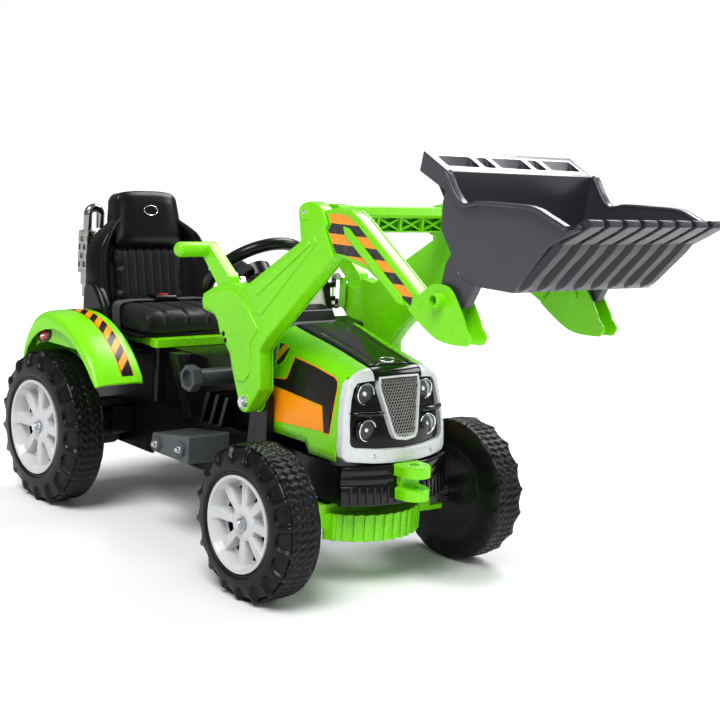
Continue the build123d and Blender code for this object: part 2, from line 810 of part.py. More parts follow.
save(windscreen_frame, "windscreen_frame")

with BuildPart() as windscreen:
    with BuildSketch(frame_plane):
        outline([(-76.7, 22.3), (76.7, 22.3), (72.7, 77.7), (-72.7, 77.7)], 4.0)
    extrude(amount=1.5, both=True)
    add(binnacle(gap), mode=Mode.SUBTRACT)
save(windscreen, "windscreen")

# folding mirror: rounded housing on a short arm that swings on the upright pin
with BuildPart() as mirror_left:
    with BuildSketch(cross_plane(238.0)):
        with Locations((111.0, 446.0)):
            RectangleRounded(25.0, 64.0, 10.0)
    extrude(amount=18.0)
    chamfer(mirror_left.faces().sort_by(Axis.Y)[0].edges(), 5.0)
    block((mirror_hinge[0], 99.0), (mirror_hinge[1] - 3.0, mirror_hinge[1] + 3.0), (438.0, 454.0))
    with BuildSketch(level_plane(438.0)):
        with Locations(mirror_hinge):
            Circle(4.5)
    extrude(amount=16.0)
    with BuildSketch(level_plane(438.0)):
        with Locations(mirror_hinge):
            Circle(mirror_pin_r + running_gap)
    extrude(amount=16.0, mode=Mode.SUBTRACT)
save(mirror_left, "mirror_left")
save_mirrored(mirror_left, "mirror_right")

# ---------------------------------------------------------------- steering
crank_throw = 26.0
with BuildPart() as steering_shaft:
    with BuildSketch(shaft_plane.offset(-430.0)):
        Circle(axle_r)
    extrude(amount=421.0)
    # crank at the foot of the shaft with the finger that moves the tie rod
    with BuildSketch(shaft_plane.offset(-430.0)):
        with Locations((0, crank_throw / 2)):
            SlotCenterToCenter(crank_throw, 13.0, rotation=90)
    extrude(amount=5.0)
    with BuildSketch(shaft_plane.offset(-430.0)):
        with Locations((0, crank_throw)):
            Circle(3.5)
    extrude(amount=-20.0)
save(steering_shaft, "steering_shaft")

with BuildPart() as steering_wheel:
    with BuildSketch(Plane(shaft_plane.origin, x_dir=(1, 0, 0), z_dir=-shaft_plane.y_dir)):
        with Locations((steering_ring_r, 0)):
            Circle(steering_tube_r)
    revolve(axis=Axis(shaft_plane.origin, shaft_plane.z_dir))
    with BuildSketch(shaft_plane.offset(-16.0)):
        Circle(30.0)
    extrude(amount=24.0)
    for turn in (90.0, 210.0, 330.0):
        with BuildSketch(shaft_plane.offset(-10.0)):
            with PolarLocations(0, 1, start_angle=turn):
                with Locations((55.0, 0)):
                    Rectangle(72.0, 22.0)
        extrude(amount=8.0)
    with BuildSketch(shaft_plane.offset(-16.0)):
        Circle(axle_r)
    extrude(amount=8.0, mode=Mode.SUBTRACT)
    with BuildSketch(shaft_plane.offset(8.0)):
        Circle(17.5)
    extrude(amount=-10.0, mode=Mode.SUBTRACT)
save(steering_wheel, "steering_wheel")

with BuildPart() as horn_button:
    with BuildSketch(shaft_plane.offset(1.0)):
        Circle(17.0)
    extrude(amount=10.0)
save(horn_button, "horn_button")

# ---------------------------------------------------------------- front axle
kingpin_r = 5.0
fork_low = (98.0, 106.0)
fork_high = (134.0, 142.0)
with BuildPart() as front_axle_beam:
    block((-132.0, 132.0), (-20.0, 20.0), (100.0, 139.8))
    for x_low, x_high in ((-165.0, -131.0), (131.0, 165.0)):
        block((x_low, x_high), (-17.0, 17.0), fork_low)
        block((x_low, x_high), (-17.0, 17.0), fork_high)
    block((-58.0, 58.0), (-17.0, 17.0), (84.0, 101.0))
    # bowed, ribbed guard in front of the beam
    with BuildSketch(level_plane(82.0)):
        with BuildLine():
            ThreePointArc((-104.0, -18.0), (0.0, -74.0), (104.0, -18.0))
            ThreePointArc((104.0, -18.0), (0.0, -66.0), (-104.0, -18.0))
        make_face()
    extrude(amount=44.0)
    bow_r = (104.0**2 + 56.0**2) / (2 * 56.0)
    for rib in range(-6, 7):
        rib_angle = radians(270.0 + rib * 8.0)
        with BuildSketch(level_plane(82.0)):
            with Locations((bow_r * cos(rib_angle), -74.0 + bow_r + bow_r * sin(rib_angle))):
                Rectangle(7.0, 6.0, rotation=rib * 8.0)
        extrude(amount=44.0)
    with BuildSketch(level_plane(116.0)):
        with BuildLine():
            ThreePointArc((-104.0, -18.0), (0.0, -68.0), (104.0, -18.0))
            Line((104.0, -18.0), (-104.0, -18.0))
        make_face()
    extrude(amount=6.0)
    for x in (-kingpin_x, kingpin_x):
        with BuildSketch(level_plane(90.0)):
            with Locations((x, 0)):
                Circle(kingpin_r + running_gap)
        extrude(amount=60.0, mode=Mode.SUBTRACT)
save(front_axle_beam, "front_axle_beam")

# steering knuckle with kingpin, stub axle, wheel nut and steering arm
with BuildPart() as knuckle:
    block((138.0, 160.0), (-11.0, 11.0), (fork_low[1] + gap, fork_high[0] - gap))
    with BuildSketch(level_plane(94.0)):
        with Locations((kingpin_x, 0)):
            Circle(kingpin_r)
    extrude(amount=52.0)
    rod_x(0.0, front_wheel_r, axle_r, 156.0, wheel_outer_x - 1.0)
    rod_x(0.0, front_wheel_r, 10.0, 156.0, wheel_inner_x + 1.0)
    axle_end(0.0, front_wheel_r)
    block((146.0, 154.0), (8.0, steering_arm + 5.0), (112.0, 118.0))
    with BuildSketch(level_plane(112.0)):
        with Locations((kingpin_x, steering_arm)):
            Circle(4.0)
    extrude(amount=18.0)
save(knuckle, "knuckle_left")
save_mirrored(knuckle, "knuckle_right")

# tie rod between the steering arms, slotted at the ends and in the middle
with BuildPart() as tie_rod:
    block((-138.0, 138.0), (steering_arm - 5.0, steering_arm + 5.0), (119.0, 124.0))
    block((-16.0, 16.0), (38.0, 82.0), (119.0, 124.0))
    for x in (-kingpin_x, kingpin_x):
        with BuildSketch(level_plane(119.0)):
            with Locations((x, steering_arm - 2.0)):
                RectangleRounded(26.0, 26.0, 8.0)
        extrude(amount=5.0)
        with BuildSketch(level_plane(119.0)):
            with Locations((x, steering_arm - 2.0)):
                RectangleRounded(11.0, 14.0, 5.0)
        extrude(amount=5.0, mode=Mode.SUBTRACT)
    with BuildSketch(level_plane(119.0)):
        with Locations((0, 58.0)):
            RectangleRounded(12.0, 34.0, 4.0)
    extrude(amount=5.0, mode=Mode.SUBTRACT)
save(tie_rod, "tie_rod")

# ---------------------------------------------------------------- tow hitch
hitch_hole = (0.0, -112.0)
hitch_hole_r = 8.0
with BuildPart() as tow_hitch:
    for z_low in (160.0, 197.0):
        with BuildSketch(level_plane(z_low)):
            with Locations(hitch_hole):
                Circle(27.0)
            with Locations((0.0, -98.0)):
                Rectangle(54.0, 20.0)
        extrude(amount=18.0)
        chamfer(tow_hitch.faces().sort_by(Axis.Z)[-1].edges(), 2.5)
    block((-20.0, 20.0), (-104.0, -91.4), (170.0, 200.0))
    with BuildSketch(level_plane(150.0)):
        with Locations(hitch_hole):
            Circle(hitch_hole_r)
    extrude(amount=80.0, mode=Mode.SUBTRACT)
    # back face follows the bumper
    block((-60.0, 60.0), (-91.2, -60.0), (150.0, 230.0), mode=Mode.SUBTRACT)
save(tow_hitch, "tow_hitch")

# ---------------------------------------------------------------- footrests, side tubes and pedal
footrest_x = (tub_half + 0.2, 180.0)
with BuildPart() as footrest:
    with BuildSketch(side_plane(footrest_x[0])):
        outline([(258.0, 150.0), (258.0, 200.0), (372.0, 184.0), (376.0, 154.0)], 4.0)
    extrude(amount=footrest_x[1] - footrest_x[0])
    with BuildSketch(side_plane(footrest_x[0])):
        outline([(264.0, 140.0), (264.0, 190.0), (364.0, 176.0), (364.0, 140.0)])
    extrude(amount=footrest_x[1] - footrest_x[0] - 6.0, mode=Mode.SUBTRACT)
    for y, z in ((282.0, 172.0), (356.0, 166.0)):
        rod_x(y, z, 10.0, footrest_x[1] - 8.0, footrest_x[1] + 3.0)
    for groove in range(5):
        y_groove = 272.0 + 21.0 * groove
        z_groove = 198.5 - 0.14 * (y_groove - 258.0)
        block(
            (footrest_x[0] + 8.0, footrest_x[1] - 8.0),
            (y_groove, y_groove + 4.0),
            (z_groove, z_groove + 9.0),
            mode=Mode.SUBTRACT,
        )
pedal_hinge = (352.0, 196.0)
pedal_pin_r = 2.5
with BuildPart() as footrests:
    mirror(footrest.part, about=Plane.YZ)
    add(footrest.part)
    # pedal bearings on the left footrest
    for x_low in (106.0, 164.4):
        with BuildSketch(side_plane(x_low)):
            outline([(345.0, 184.0), (345.0, 202.0), (359.0, 202.0), (359.0, 182.0)], 3.0)
        extrude(amount=5.6)
    rod_x(*pedal_hinge, pedal_pin_r, 106.0, 170.0)
save(footrests, "footrests")

# grey side tubes with hexagonal caps, one on each flank of the tunnel
with BuildPart() as side_tubes:
    rod_x(284.0, 296.0, 15.0, tunnel_half + 0.2, 160.0)
    with BuildSketch(side_plane(154.0)):
        with Locations((284.0, 296.0)):
            RegularPolygon(23.5, 6, rotation=12)
    extrude(amount=18.0)
    rod_x(284.0, 296.0, 15.0, 164.0, 180.0, mode=Mode.SUBTRACT)
    rod_x(284.0, 296.0, 11.8, tunnel_half - 2.0, 84.0, mode=Mode.SUBTRACT)
    mirror(about=Plane.YZ)
save(side_tubes, "side_tubes")

# accelerator pedal on the left footrest, hinged at its heel
pedal_slope = 0.355
with BuildPart() as accelerator_pedal:
    with BuildSketch(side_plane(112.0)):
        outline([(352.0, 193.0), (352.0, 199.0), (276.0, 226.0), (273.0, 220.0)], 1.5)
    extrude(amount=52.0)
    rod_x(*pedal_hinge, 5.0, 112.0, 164.0)
    for y_rib in (284.0, 300.0, 316.0):
        z_rib = 199.0 + pedal_slope * (352.0 - y_rib)
        block((116.0, 160.0), (y_rib, y_rib + 5.0), (z_rib - 4.0, z_rib + 2.0))
    rod_x(*pedal_hinge, pedal_pin_r + running_gap, 110.0, 166.0, mode=Mode.SUBTRACT)
save(accelerator_pedal, "accelerator_pedal")

# ---------------------------------------------------------------- dash buttons
with BuildPart() as power_button:
    with BuildSketch(cross_plane(245.0)):
        with Locations((-62.0, 380.0)):
            Circle(9.0)
    extrude(amount=14.0)
save(power_button, "power_button")

with BuildPart() as direction_switch:
    with BuildSketch(side_plane(54.0)):
        outline([(232.0, 369.0), (232.0, 391.0), (243.0, 390.0), (246.0, 380.0), (243.0, 370.0)], 1.0)
    extrude(amount=16.0)
    rod_x(240.0, 380.0, 1.5, 53.0, 71.0, mode=Mode.SUBTRACT)
save(direction_switch, "direction_switch")

# ---------------------------------------------------------------- loader arms
joint_line = [(-22.0, 603.0), (-34.0, 611.0), (-47.0, 591.0), (-40.0, 582.0), (-65.0, 545.0)]
arm_outline = [
    (117.6, 282.3),
    (99.0, 308.0),
    (105.0, 371.0),
    (87.0, 395.0),
    (-62.0, 540.0),
    *reversed(joint_line),
    (-0.4, 622.0),
    (16.0, 618.0),
    (25.0, 606.0),
    (15.0, 560.0),
    (157.0, 469.0),
    (192.0, 474.0),
    (240.0, 460.0),
    (270.0, 445.0),
    (273.0, 431.0),
    (268.0, 417.0),
    (236.0, 414.0),
    (225.0, 403.0),
    (218.0, 386.0),
    (186.0, 354.0),
    (177.0, 328.0),
    (155.6, 282.3),
]
boom_outline = [
    (-34.6, 611.6),
    (-66.0, 618.0),
    (-93.0, 617.0),
    (-117.0, 606.0),
    (-262.0, 507.0),
    (-240.0, 486.0),
    (-139.0, 533.5),
    (-89.0, 542.5),
    (-65.6, 544.8),
    (-40.7, 582.0),
    (-47.7, 591.0),
]
clevis_outline = [
    (-240.0, 490.0),
    (-259.0, 511.0),
    (-278.0, 527.0),
    (-298.0, 532.0),
    (-321.0, 526.0),
    (-347.0, 492.0),
    (-354.0, 479.0),
    (-364.0, 468.0),
    (-362.0, 458.0),
    (-351.0, 453.0),
    (-298.0, 455.0),
    (-241.0, 486.0),
]
raised_panel = [
    (140.0, 316.0),
    (128.0, 330.0),
    (130.0, 380.0),
    (112.0, 408.0),
    (150.0, 446.0),
    (190.0, 461.0),
    (238.0, 451.0),
    (261.0, 438.0),
    (262.0, 424.0),
    (232.0, 420.0),
    (216.0, 408.0),
    (208.0, 390.0),
    (176.0, 360.0),
    (168.0, 332.0),
    (160.0, 316.0),
]
lever_slot = (arm_inner_x + arm_wall, arm_outer_x - arm_wall)


def inside(points, inset):
    """Sketch of the outline drawn in by a wall thickness."""
    with BuildSketch() as region:
        Polygon(*points, align=None)
        offset(amount=-inset, kind=Kind.INTERSECTION)
    return region.sketch


# arm: outer half shell, closed by its own cover on the inner side
with BuildPart() as arm:
    with BuildSketch(side_plane(arm_inner_x + arm_wall)):
        outline(arm_outline, 2.0)
        with Locations(lift_pivot):
            Circle(19.0)
    extrude(amount=arm_outer_x - arm_inner_x - arm_wall)
    with BuildSketch(side_plane(arm_inner_x)):
        add(inside(arm_outline, arm_wall))
    extrude(amount=arm_outer_x - arm_inner_x - arm_wall, mode=Mode.SUBTRACT)
    # solid bosses round the lift pivot, the elbow and the lever pivot
    rod_x(*lift_pivot, 19.0, arm_inner_x + arm_wall, arm_outer_x)
    rod_x(8.6, 604.5, 9.0, arm_inner_x + arm_wall, arm_outer_x - 1.0)
    with BuildSketch(side_plane(arm_outer_x - 0.5)):
        outline(raised_panel, 5.0)
    extrude(amount=2.5)
    rod_x(8.6, 604.5, 5.5, arm_outer_x - 3.0, arm_outer_x + 1.0, mode=Mode.SUBTRACT)
    rod_x(199.0, 376.0, 4.5, arm_outer_x - 2.0, arm_outer_x + 3.0, mode=Mode.SUBTRACT)
    # mouth of the bulge where the hand lever comes out
    block(lever_slot, (184.0, 276.0), (436.0, 490.0), mode=Mode.SUBTRACT)
    rod_x(*lever_pivot, 6.0, arm_inner_x + arm_wall, arm_outer_x - 1.0)
    rod_x(*lift_pivot, bolt_r + running_gap, arm_inner_x, arm_outer_x + 2.0, mode=Mode.SUBTRACT)
save(arm, "arm_left")
save_mirrored(arm, "arm_right")

# boom: hollow half shell with the clevis plates and pin boss at its nose
clevis_plate = 4.0
with BuildPart() as boom:
    with BuildSketch(side_plane(arm_inner_x + arm_wall)):
        outline(boom_outline, 1.5)
    extrude(amount=boom_outer_x - arm_inner_x - arm_wall)
    with BuildSketch(side_plane(arm_inner_x)):
        add(inside(boom_outline, arm_wall))
    extrude(amount=boom_outer_x - arm_inner_x - arm_wall, mode=Mode.SUBTRACT)
    # solid root that ties both clevis plates to the boom
    with BuildSketch(side_plane(arm_inner_x - clevis_plate)):
        outline([(-241.0, 489.0), (-254.0, 511.0), (-272.0, 521.0), (-272.0, 472.0)], 1.0)
    extrude(amount=boom_outer_x - arm_inner_x + clevis_plate)
    for x_low in (arm_inner_x - clevis_plate, boom_outer_x - 1.0):
        with BuildSketch(side_plane(x_low)):
            outline(clevis_outline, 3.0)
        extrude(amount=clevis_plate)
    rod_x(*bucket_pivot, 10.0, boom_outer_x, boom_outer_x + 17.0)
    rod_x(*bucket_pivot, 6.5, boom_outer_x + 5.0, boom_outer_x + 18.0, mode=Mode.SUBTRACT)
    rod_x(*bucket_pivot, pin_r + running_gap, arm_inner_x - 10.0, boom_outer_x + 18.0, mode=Mode.SUBTRACT)
    # raised diagonal rib on the outer face
    with BuildSketch(side_plane(boom_outer_x - 0.5)):
        outline(
            [
                (-84.0, 592.0),
                (-98.0, 590.0),
                (-222.0, 505.0),
                (-228.0, 492.0),
                (-214.0, 494.0),
                (-90.0, 578.0),
            ],
            3.0,
        )
    extrude(amount=3.0)
save(boom, "boom_left")
save_mirrored(boom, "boom_right")

# inner covers that close the hollow arms and booms
with BuildPart() as arm_covers:
    with BuildSketch(side_plane(arm_inner_x)):
        outline(arm_outline, 2.0)
        with Locations(lift_pivot):
            Circle(19.0)
    extrude(amount=arm_wall - 0.1)
    block((arm_inner_x - 1.0, arm_inner_x + 4.0), (190.0, 262.0), (456.0, 480.0), mode=Mode.SUBTRACT)
    rod_x(*lift_pivot, bolt_r + running_gap, arm_inner_x - 1.0, arm_outer_x, mode=Mode.SUBTRACT)
    with BuildSketch(side_plane(arm_inner_x)):
        outline([*boom_outline[:4], (-252.0, 513.0), (-238.0, 488.5), *boom_outline[6:]], 1.5)
    extrude(amount=arm_wall - 0.1)
    mirror(about=Plane.YZ)
save(arm_covers, "arm_covers")

# crossbar between the elbows: ribbed channel with round flanges
with BuildPart() as crossbar:
    with BuildSketch(side_plane(-118.0)):
        outline(
            [
                (-42.0, 578.0),
                (-42.0, 606.0),
                (-34.0, 618.0),
                (-20.0, 618.0),
                (-12.0, 606.0),
                (-12.0, 578.0),
            ],
            3.0,
        )
    extrude(amount=236.0)
    with BuildSketch(cross_plane(-30.0)):
        for x in (-72.0, -24.0, 24.0, 72.0):
            with Locations((x, 591.0)):
                Rectangle(44.0, 20.0)
    extrude(amount=20.0, mode=Mode.SUBTRACT)
    for x in (-72.0, -24.0, 24.0, 72.0):
        for lean in (-24.0, 24.0):
            with BuildSketch(cross_plane(-30.0)):
                with Locations((x, 591.0)):
                    Rectangle(46.0, 3.0, rotation=lean)
            extrude(amount=10.0)
    for x_low, x_high in ((-127.9, -96.0), (96.0, 127.9)):
        with BuildSketch(side_plane(x_low)):
            outline(
                [
                    (-46.0, 572.0),
                    (-46.0, 608.0),
                    (-36.0, 620.0),
                    (-14.0, 620.0),
                    (-4.0, 610.0),
                    (-8.0, 572.0),
                ],
                4.0,
            )
        extrude(amount=x_high - x_low)
save(crossbar, "crossbar")

# hand lever in each arm: flat stem in the bulge and a grip that points outwards
grip_y = 276.0
grip_z = 519.0
lever_x = (arm_inner_x + arm_wall + 2.0, arm_outer_x - arm_wall - 2.0)
lever_stem = [
    (201.0, 428.0),
    (227.0, 432.0),
    (231.0, 460.0),
    (284.0, 509.0),
    (267.0, 529.0),
    (203.0, 481.0),
    (196.0, 462.0),
]
with BuildPart() as hand_levers:
    with BuildSketch(side_plane(lever_x[0])):
        with Locations(lever_pivot):
            Circle(13.0)
        outline(lever_stem, 3.0)
        with Locations((grip_y, grip_z)):
            Circle(13.0)
    extrude(amount=lever_x[1] - lever_x[0])
    rod_x(grip_y, grip_z, 13.0, lever_x[0], 212.0)
    fillet(hand_levers.faces().sort_by(Axis.X)[-1].edges(), 10.0)
    rod_x(*lever_pivot, 6.0 + running_gap, arm_inner_x, arm_outer_x, mode=Mode.SUBTRACT)
    mirror(about=Plane.YZ)
save(hand_levers, "hand_levers")

# ---------------------------------------------------------------- loader hardware
with BuildPart() as loader_pivot_bolts:
    rod_x(*lift_pivot, bolt_r, 111.0, arm_outer_x + 9.0)
    rod_x(*lift_pivot, 11.0, arm_outer_x + gap + 0.2, arm_outer_x + gap + 2.0)
    with BuildSketch(side_plane(arm_outer_x + gap + 2.0)) as bolt_head:
        with Locations(lift_pivot):
            RegularPolygon(9.2, 6)
    extrude(bolt_head.sketch, amount=5.0)
    mirror(about=Plane.YZ)
save(loader_pivot_bolts, "loader_pivot_bolts")

with BuildPart() as bucket_pins:
    rod_x(*bucket_pivot, pin_r, arm_inner_x - 7.0, boom_outer_x + 4.0)
    rod_x(*bucket_pivot, 8.0, arm_inner_x - 7.4, arm_inner_x - clevis_plate - 0.2)
    mirror(about=Plane.YZ)
save(bucket_pins, "bucket_pins")

# ---------------------------------------------------------------- bucket
bucket_side = [
    (-245.0, 712.0),
    (-294.0, 687.0),
    (-298.0, 690.0),
    (-314.0, 660.0),
    (-332.0, 642.0),
    (-364.0, 649.0),
    (-460.0, 650.0),
    (-515.0, 628.0),
    (-527.0, 637.0),
    (-531.0, 629.0),
    (-493.0, 610.0),
    (-480.0, 601.0),
    (-424.0, 535.4),
    (-348.0, 535.4),
    (-323.0, 546.0),
    (-306.0, 574.0),
    (-284.0, 606.0),
    (-286.0, 645.0),
    (-291.0, 660.0),
    (-238.0, 684.0),
]
bucket_hollow = [
    (-299.0, 730.0),
    (-294.5, 686.0),
    (-290.0, 646.0),
    (-288.0, 607.0),
    (-309.5, 576.0),
    (-326.0, 549.5),
    (-349.0, 539.4),
    (-422.0, 539.4),
    (-477.5, 604.5),
    (-491.0, 614.0),
    (-516.0, 627.0),
    (-536.0, 641.0),
    (-536.0, 730.0),
]
side_draft = 0.055


def bucket_solid(points, shrink, x_half):
    """Solid across the bucket whose sides lean outwards with height."""
    low = bucket_half_bottom - shrink
    with BuildPart() as body:
        with BuildSketch(side_plane(-x_half)):
            outline(points)
        extrude(amount=2 * x_half)
        for flip in (-1, 1):
            with BuildSketch(cross_plane(-200.0)):
                outline(
                    [
                        (flip * low, 530.0),
                        (flip * (low + side_draft * 200.0), 730.0),
                        (flip * 200.0, 730.0),
                        (flip * 200.0, 530.0),
                    ]
                )
            extrude(amount=400.0, mode=Mode.SUBTRACT)
    return body.part


with BuildPart() as bucket:
    add(bucket_solid(bucket_side, 0.0, 180.0))
    # turned-out rim along the sides
    with BuildSketch(side_plane(-bucket_half_rim)):
        outline(
            [
                (-332.0, 642.0),
                (-364.0, 649.0),
                (-460.0, 650.0),
                (-514.0, 628.0),
                (-500.0, 614.0),
                (-436.0, 636.0),
                (-356.0, 633.0),
            ]
        )
    extrude(amount=2 * bucket_half_rim)
    add(bucket_solid(bucket_hollow, bucket_wall, 180.0), mode=Mode.SUBTRACT)
    # five slots in the shelf: wide, narrow, wide, narrow, wide
    shelf_plane = Plane(origin=(0, front_axle_y - 269.5, 699.3), x_dir=(1, 0, 0), z_dir=(0, -0.454, 0.891))
    for x, width in ((-108.0, 64.0), (-54.0, 22.0), (0.0, 64.0), (54.0, 22.0), (108.0, 64.0)):
        with BuildSketch(shelf_plane.offset(1.0)):
            with Locations((x, 0)):
                RectangleRounded(width, 28.0, 5.0)
        extrude(amount=-15.0, mode=Mode.SUBTRACT)
    # digging teeth on the lip
    for tooth in range(tooth_count):
        x_tooth = (tooth - (tooth_count - 1) / 2) * 40.0
        with BuildSketch(side_plane(x_tooth - 12.0)):
            outline(
                [
                    (-514.0, 627.5),
                    (-538.0, 643.0),
                    (-544.0, 634.0),
                    (-520.0, 622.0),
                    (-500.0, 614.0),
                ],
                1.0,
            )
        extrude(amount=24.0)
    # stiffening ribs on the slanting underside
    for rib in range(rib_count):
        x_rib = (rib - (rib_count - 1) / 2) * 36.0
        with BuildSketch(side_plane(x_rib - 3.0)):
            outline([(-414.0, 536.4), (-426.0, 531.0), (-486.0, 601.0), (-494.0, 611.5), (-478.0, 603.0)])
        extrude(amount=6.0)
    # lugs that hang on the bucket pins
    for x_low in (-148.0, 132.0):
        with BuildSketch(side_plane(x_low)):
            with Locations(bucket_pivot):
                Circle(14.5)
            outline(
                [
                    (-287.0, 512.0),
                    (-304.0, 496.0),
                    (-339.0, 502.0),
                    (-356.0, 537.0),
                    (-324.0, 547.5),
                    (-305.0, 576.0),
                    (-298.0, 560.0),
                ]
            )
        extrude(amount=16.0)
    rod_x(*bucket_pivot, pin_r + running_gap, -160.0, 160.0, mode=Mode.SUBTRACT)
save(bucket, "bucket")
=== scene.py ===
from math import acos, atan2, cos, exp, hypot, pi, radians, sin, sqrt

import bmesh
import bpy
from mathutils import Matrix, Vector


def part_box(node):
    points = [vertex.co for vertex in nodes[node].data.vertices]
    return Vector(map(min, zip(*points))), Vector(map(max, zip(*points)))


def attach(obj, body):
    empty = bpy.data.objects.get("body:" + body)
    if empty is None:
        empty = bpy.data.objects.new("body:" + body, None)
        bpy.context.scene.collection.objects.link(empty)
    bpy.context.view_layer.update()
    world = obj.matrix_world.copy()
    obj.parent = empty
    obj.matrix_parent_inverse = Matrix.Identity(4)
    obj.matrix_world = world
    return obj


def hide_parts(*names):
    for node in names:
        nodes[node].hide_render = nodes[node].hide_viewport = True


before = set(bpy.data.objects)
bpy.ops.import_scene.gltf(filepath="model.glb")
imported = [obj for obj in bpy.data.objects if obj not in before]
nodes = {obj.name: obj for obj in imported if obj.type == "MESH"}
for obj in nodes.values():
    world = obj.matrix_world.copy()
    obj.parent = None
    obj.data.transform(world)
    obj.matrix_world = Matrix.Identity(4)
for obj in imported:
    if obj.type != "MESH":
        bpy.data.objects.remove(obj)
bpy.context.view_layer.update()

MM = 0.001
SIDES = (("left", 1), ("right", -1))


def middle(node):
    low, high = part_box(node)
    return (low + high) / 2


# every length below is counted in millimetres back from the front axle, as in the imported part
AXLE_Y = middle("front_rim_left").y
FRONT_R = middle("front_tyre_left").z / MM
REAR_R = middle("rear_tyre_left").z / MM
REAR_Y = (middle("rear_rim_left").y - AXLE_Y) / MM
WHEEL_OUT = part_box("front_tyre_left")[1].x / MM
FRONT_RIM_R = (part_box("front_rim_left")[1].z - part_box("front_rim_left")[0].z) / MM / 2
REAR_RIM_R = (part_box("rear_rim_left")[1].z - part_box("rear_rim_left")[0].z) / MM / 2


def at(x, y, z):
    """Point in the row frame from x, distance behind the front axle and height."""
    return Vector((x * MM, AXLE_Y + y * MM, z * MM))


# ---------------------------------------------------------------- camera, light and floor
def camera():
    """View from the front left corner, slightly above the toy and rolled a little."""
    eye = at(-1501, -1658.7, 736)
    az, el, roll = radians(-41.54), radians(9.44), radians(3.74)
    back = Vector((sin(az) * cos(el), -cos(az) * cos(el), sin(el)))
    right = Vector((cos(az), sin(az), 0))
    up = back.cross(right)
    right_r = right * cos(roll) + up * sin(roll)
    up_r = -right * sin(roll) + up * cos(roll)
    data = bpy.data.cameras.new("camera")
    data.lens = 69.3
    data.sensor_width = 36
    data.clip_end = 50
    cam = bpy.data.objects.new("camera", data)
    cam.matrix_world = Matrix(
        (
            (right_r.x, up_r.x, back.x, eye.x),
            (right_r.y, up_r.y, back.y, eye.y),
            (right_r.z, up_r.z, back.z, eye.z),
            (0, 0, 0, 1),
        )
    )
    bpy.context.scene.camera = link(cam)


def link(obj):
    bpy.context.scene.collection.objects.link(obj)
    return obj


def aim(lamp, place, target):
    """Turns a lamp so that it shines from a place to a target."""
    lamp.rotation_euler = (Vector(target) - Vector(place)).to_track_quat("-Z", "Y").to_euler()
    link(lamp)


def area_light(name, place, target, size, power):
    data = bpy.data.lights.new(name, "AREA")
    data.shape = "DISK"
    data.size = size
    data.energy = power
    lamp = bpy.data.objects.new(name, data)
    lamp.location = place
    aim(lamp, place, target)


def backdrop():
    """White paper to the camera, a soft cool sky to everything else."""
    world = bpy.data.worlds.new("studio")
    bpy.context.scene.world = world
    world.use_nodes = True
    n, l = world.node_tree.nodes, world.node_tree.links
    sky = n["Background"]
    sky.inputs[0].default_value = (0.94, 0.96, 1, 1)
    sky.inputs[1].default_value = 0.4
    paper = n.new("ShaderNodeBackground")
    paper.inputs[0].default_value = (1, 1, 1, 1)
    paper.inputs[1].default_value = 1
    seen = n.new("ShaderNodeLightPath")
    blend = n.new("ShaderNodeMixShader")
    l.new(seen.outputs["Is Camera Ray"], blend.inputs[0])
    l.new(sky.outputs[0], blend.inputs[1])
    l.new(paper.outputs[0], blend.inputs[2])
    l.new(blend.outputs[0], n["World Output"].inputs[0])


def lights():
    """Soft sun, low front fill, side light and a lamp above the seat."""
    sun = bpy.data.lights.new("sun", "SUN")
    sun.energy = 2.7
    sun.angle = radians(30)
    aim(bpy.data.objects.new("sun", sun), (-1.9, -1.2, 3.2), (0, 0, 0))
    area_light("fill", (-1, -3.4, 1.5), (0, 0, 0.4), 1.1, 13)
    area_light("side", (3, -1.4, 2.2), (0, 0, 0.3), 1.4, 30)
    area_light("top", (1.7, 0.4, 2.47), (0, -0.39, 0.68), 1.7, 58)


def white_floor():
    """Wide white floor that fades into the backdrop."""
    floor_mesh = bpy.data.meshes.new("floor")
    half = 14
    corners = [(-half, -half, 0), (half, -half, 0), (half, half, 0), (-half, half, 0)]
    floor_mesh.from_pydata(corners, [], [(0, 1, 2, 3)])
    floor = link(bpy.data.objects.new("floor", floor_mesh))
    mat, n, l, shader = material("floor")
    shader.inputs["Base Color"].default_value = (0.93, 0.93, 0.93, 1)
    shader.inputs["Roughness"].default_value = 0.8
    # the paper glows a little away from the toy, so that it meets the backdrop without a line
    far = n.new("ShaderNodeVectorMath")
    far.operation = "LENGTH"
    l.new(n.new("ShaderNodeTexCoord").outputs["Object"], far.inputs[0])
    shader.inputs["Emission Color"].default_value = (1, 1, 1, 1)
    l.new(remap(n, l, far.outputs["Value"], 0, 0.16, 1, 3.5), shader.inputs["Emission Strength"])
    floor_mesh.materials.append(mat)


# ---------------------------------------------------------------- materials
def material(name):
    mat = bpy.data.materials.new(name)
    mat.use_nodes = True
    return mat, mat.node_tree.nodes, mat.node_tree.links, mat.node_tree.nodes["Principled BSDF"]


def noise(n, l, coords, scale, detail=3, roughness=0.5):
    node = n.new("ShaderNodeTexNoise")
    node.inputs["Scale"].default_value = scale
    node.inputs["Detail"].default_value = detail
    node.inputs["Roughness"].default_value = roughness
    l.new(coords, node.inputs["Vector"])
    return node.outputs["Fac"]


def remap(n, l, value, low, high, from_low=0, from_high=1):
    node = n.new("ShaderNodeMapRange")
    node.inputs["From Min"].default_value = from_low
    node.inputs["From Max"].default_value = from_high
    node.inputs["To Min"].default_value = low
    node.inputs["To Max"].default_value = high
    l.new(value, node.inputs["Value"])
    return node.outputs["Result"]


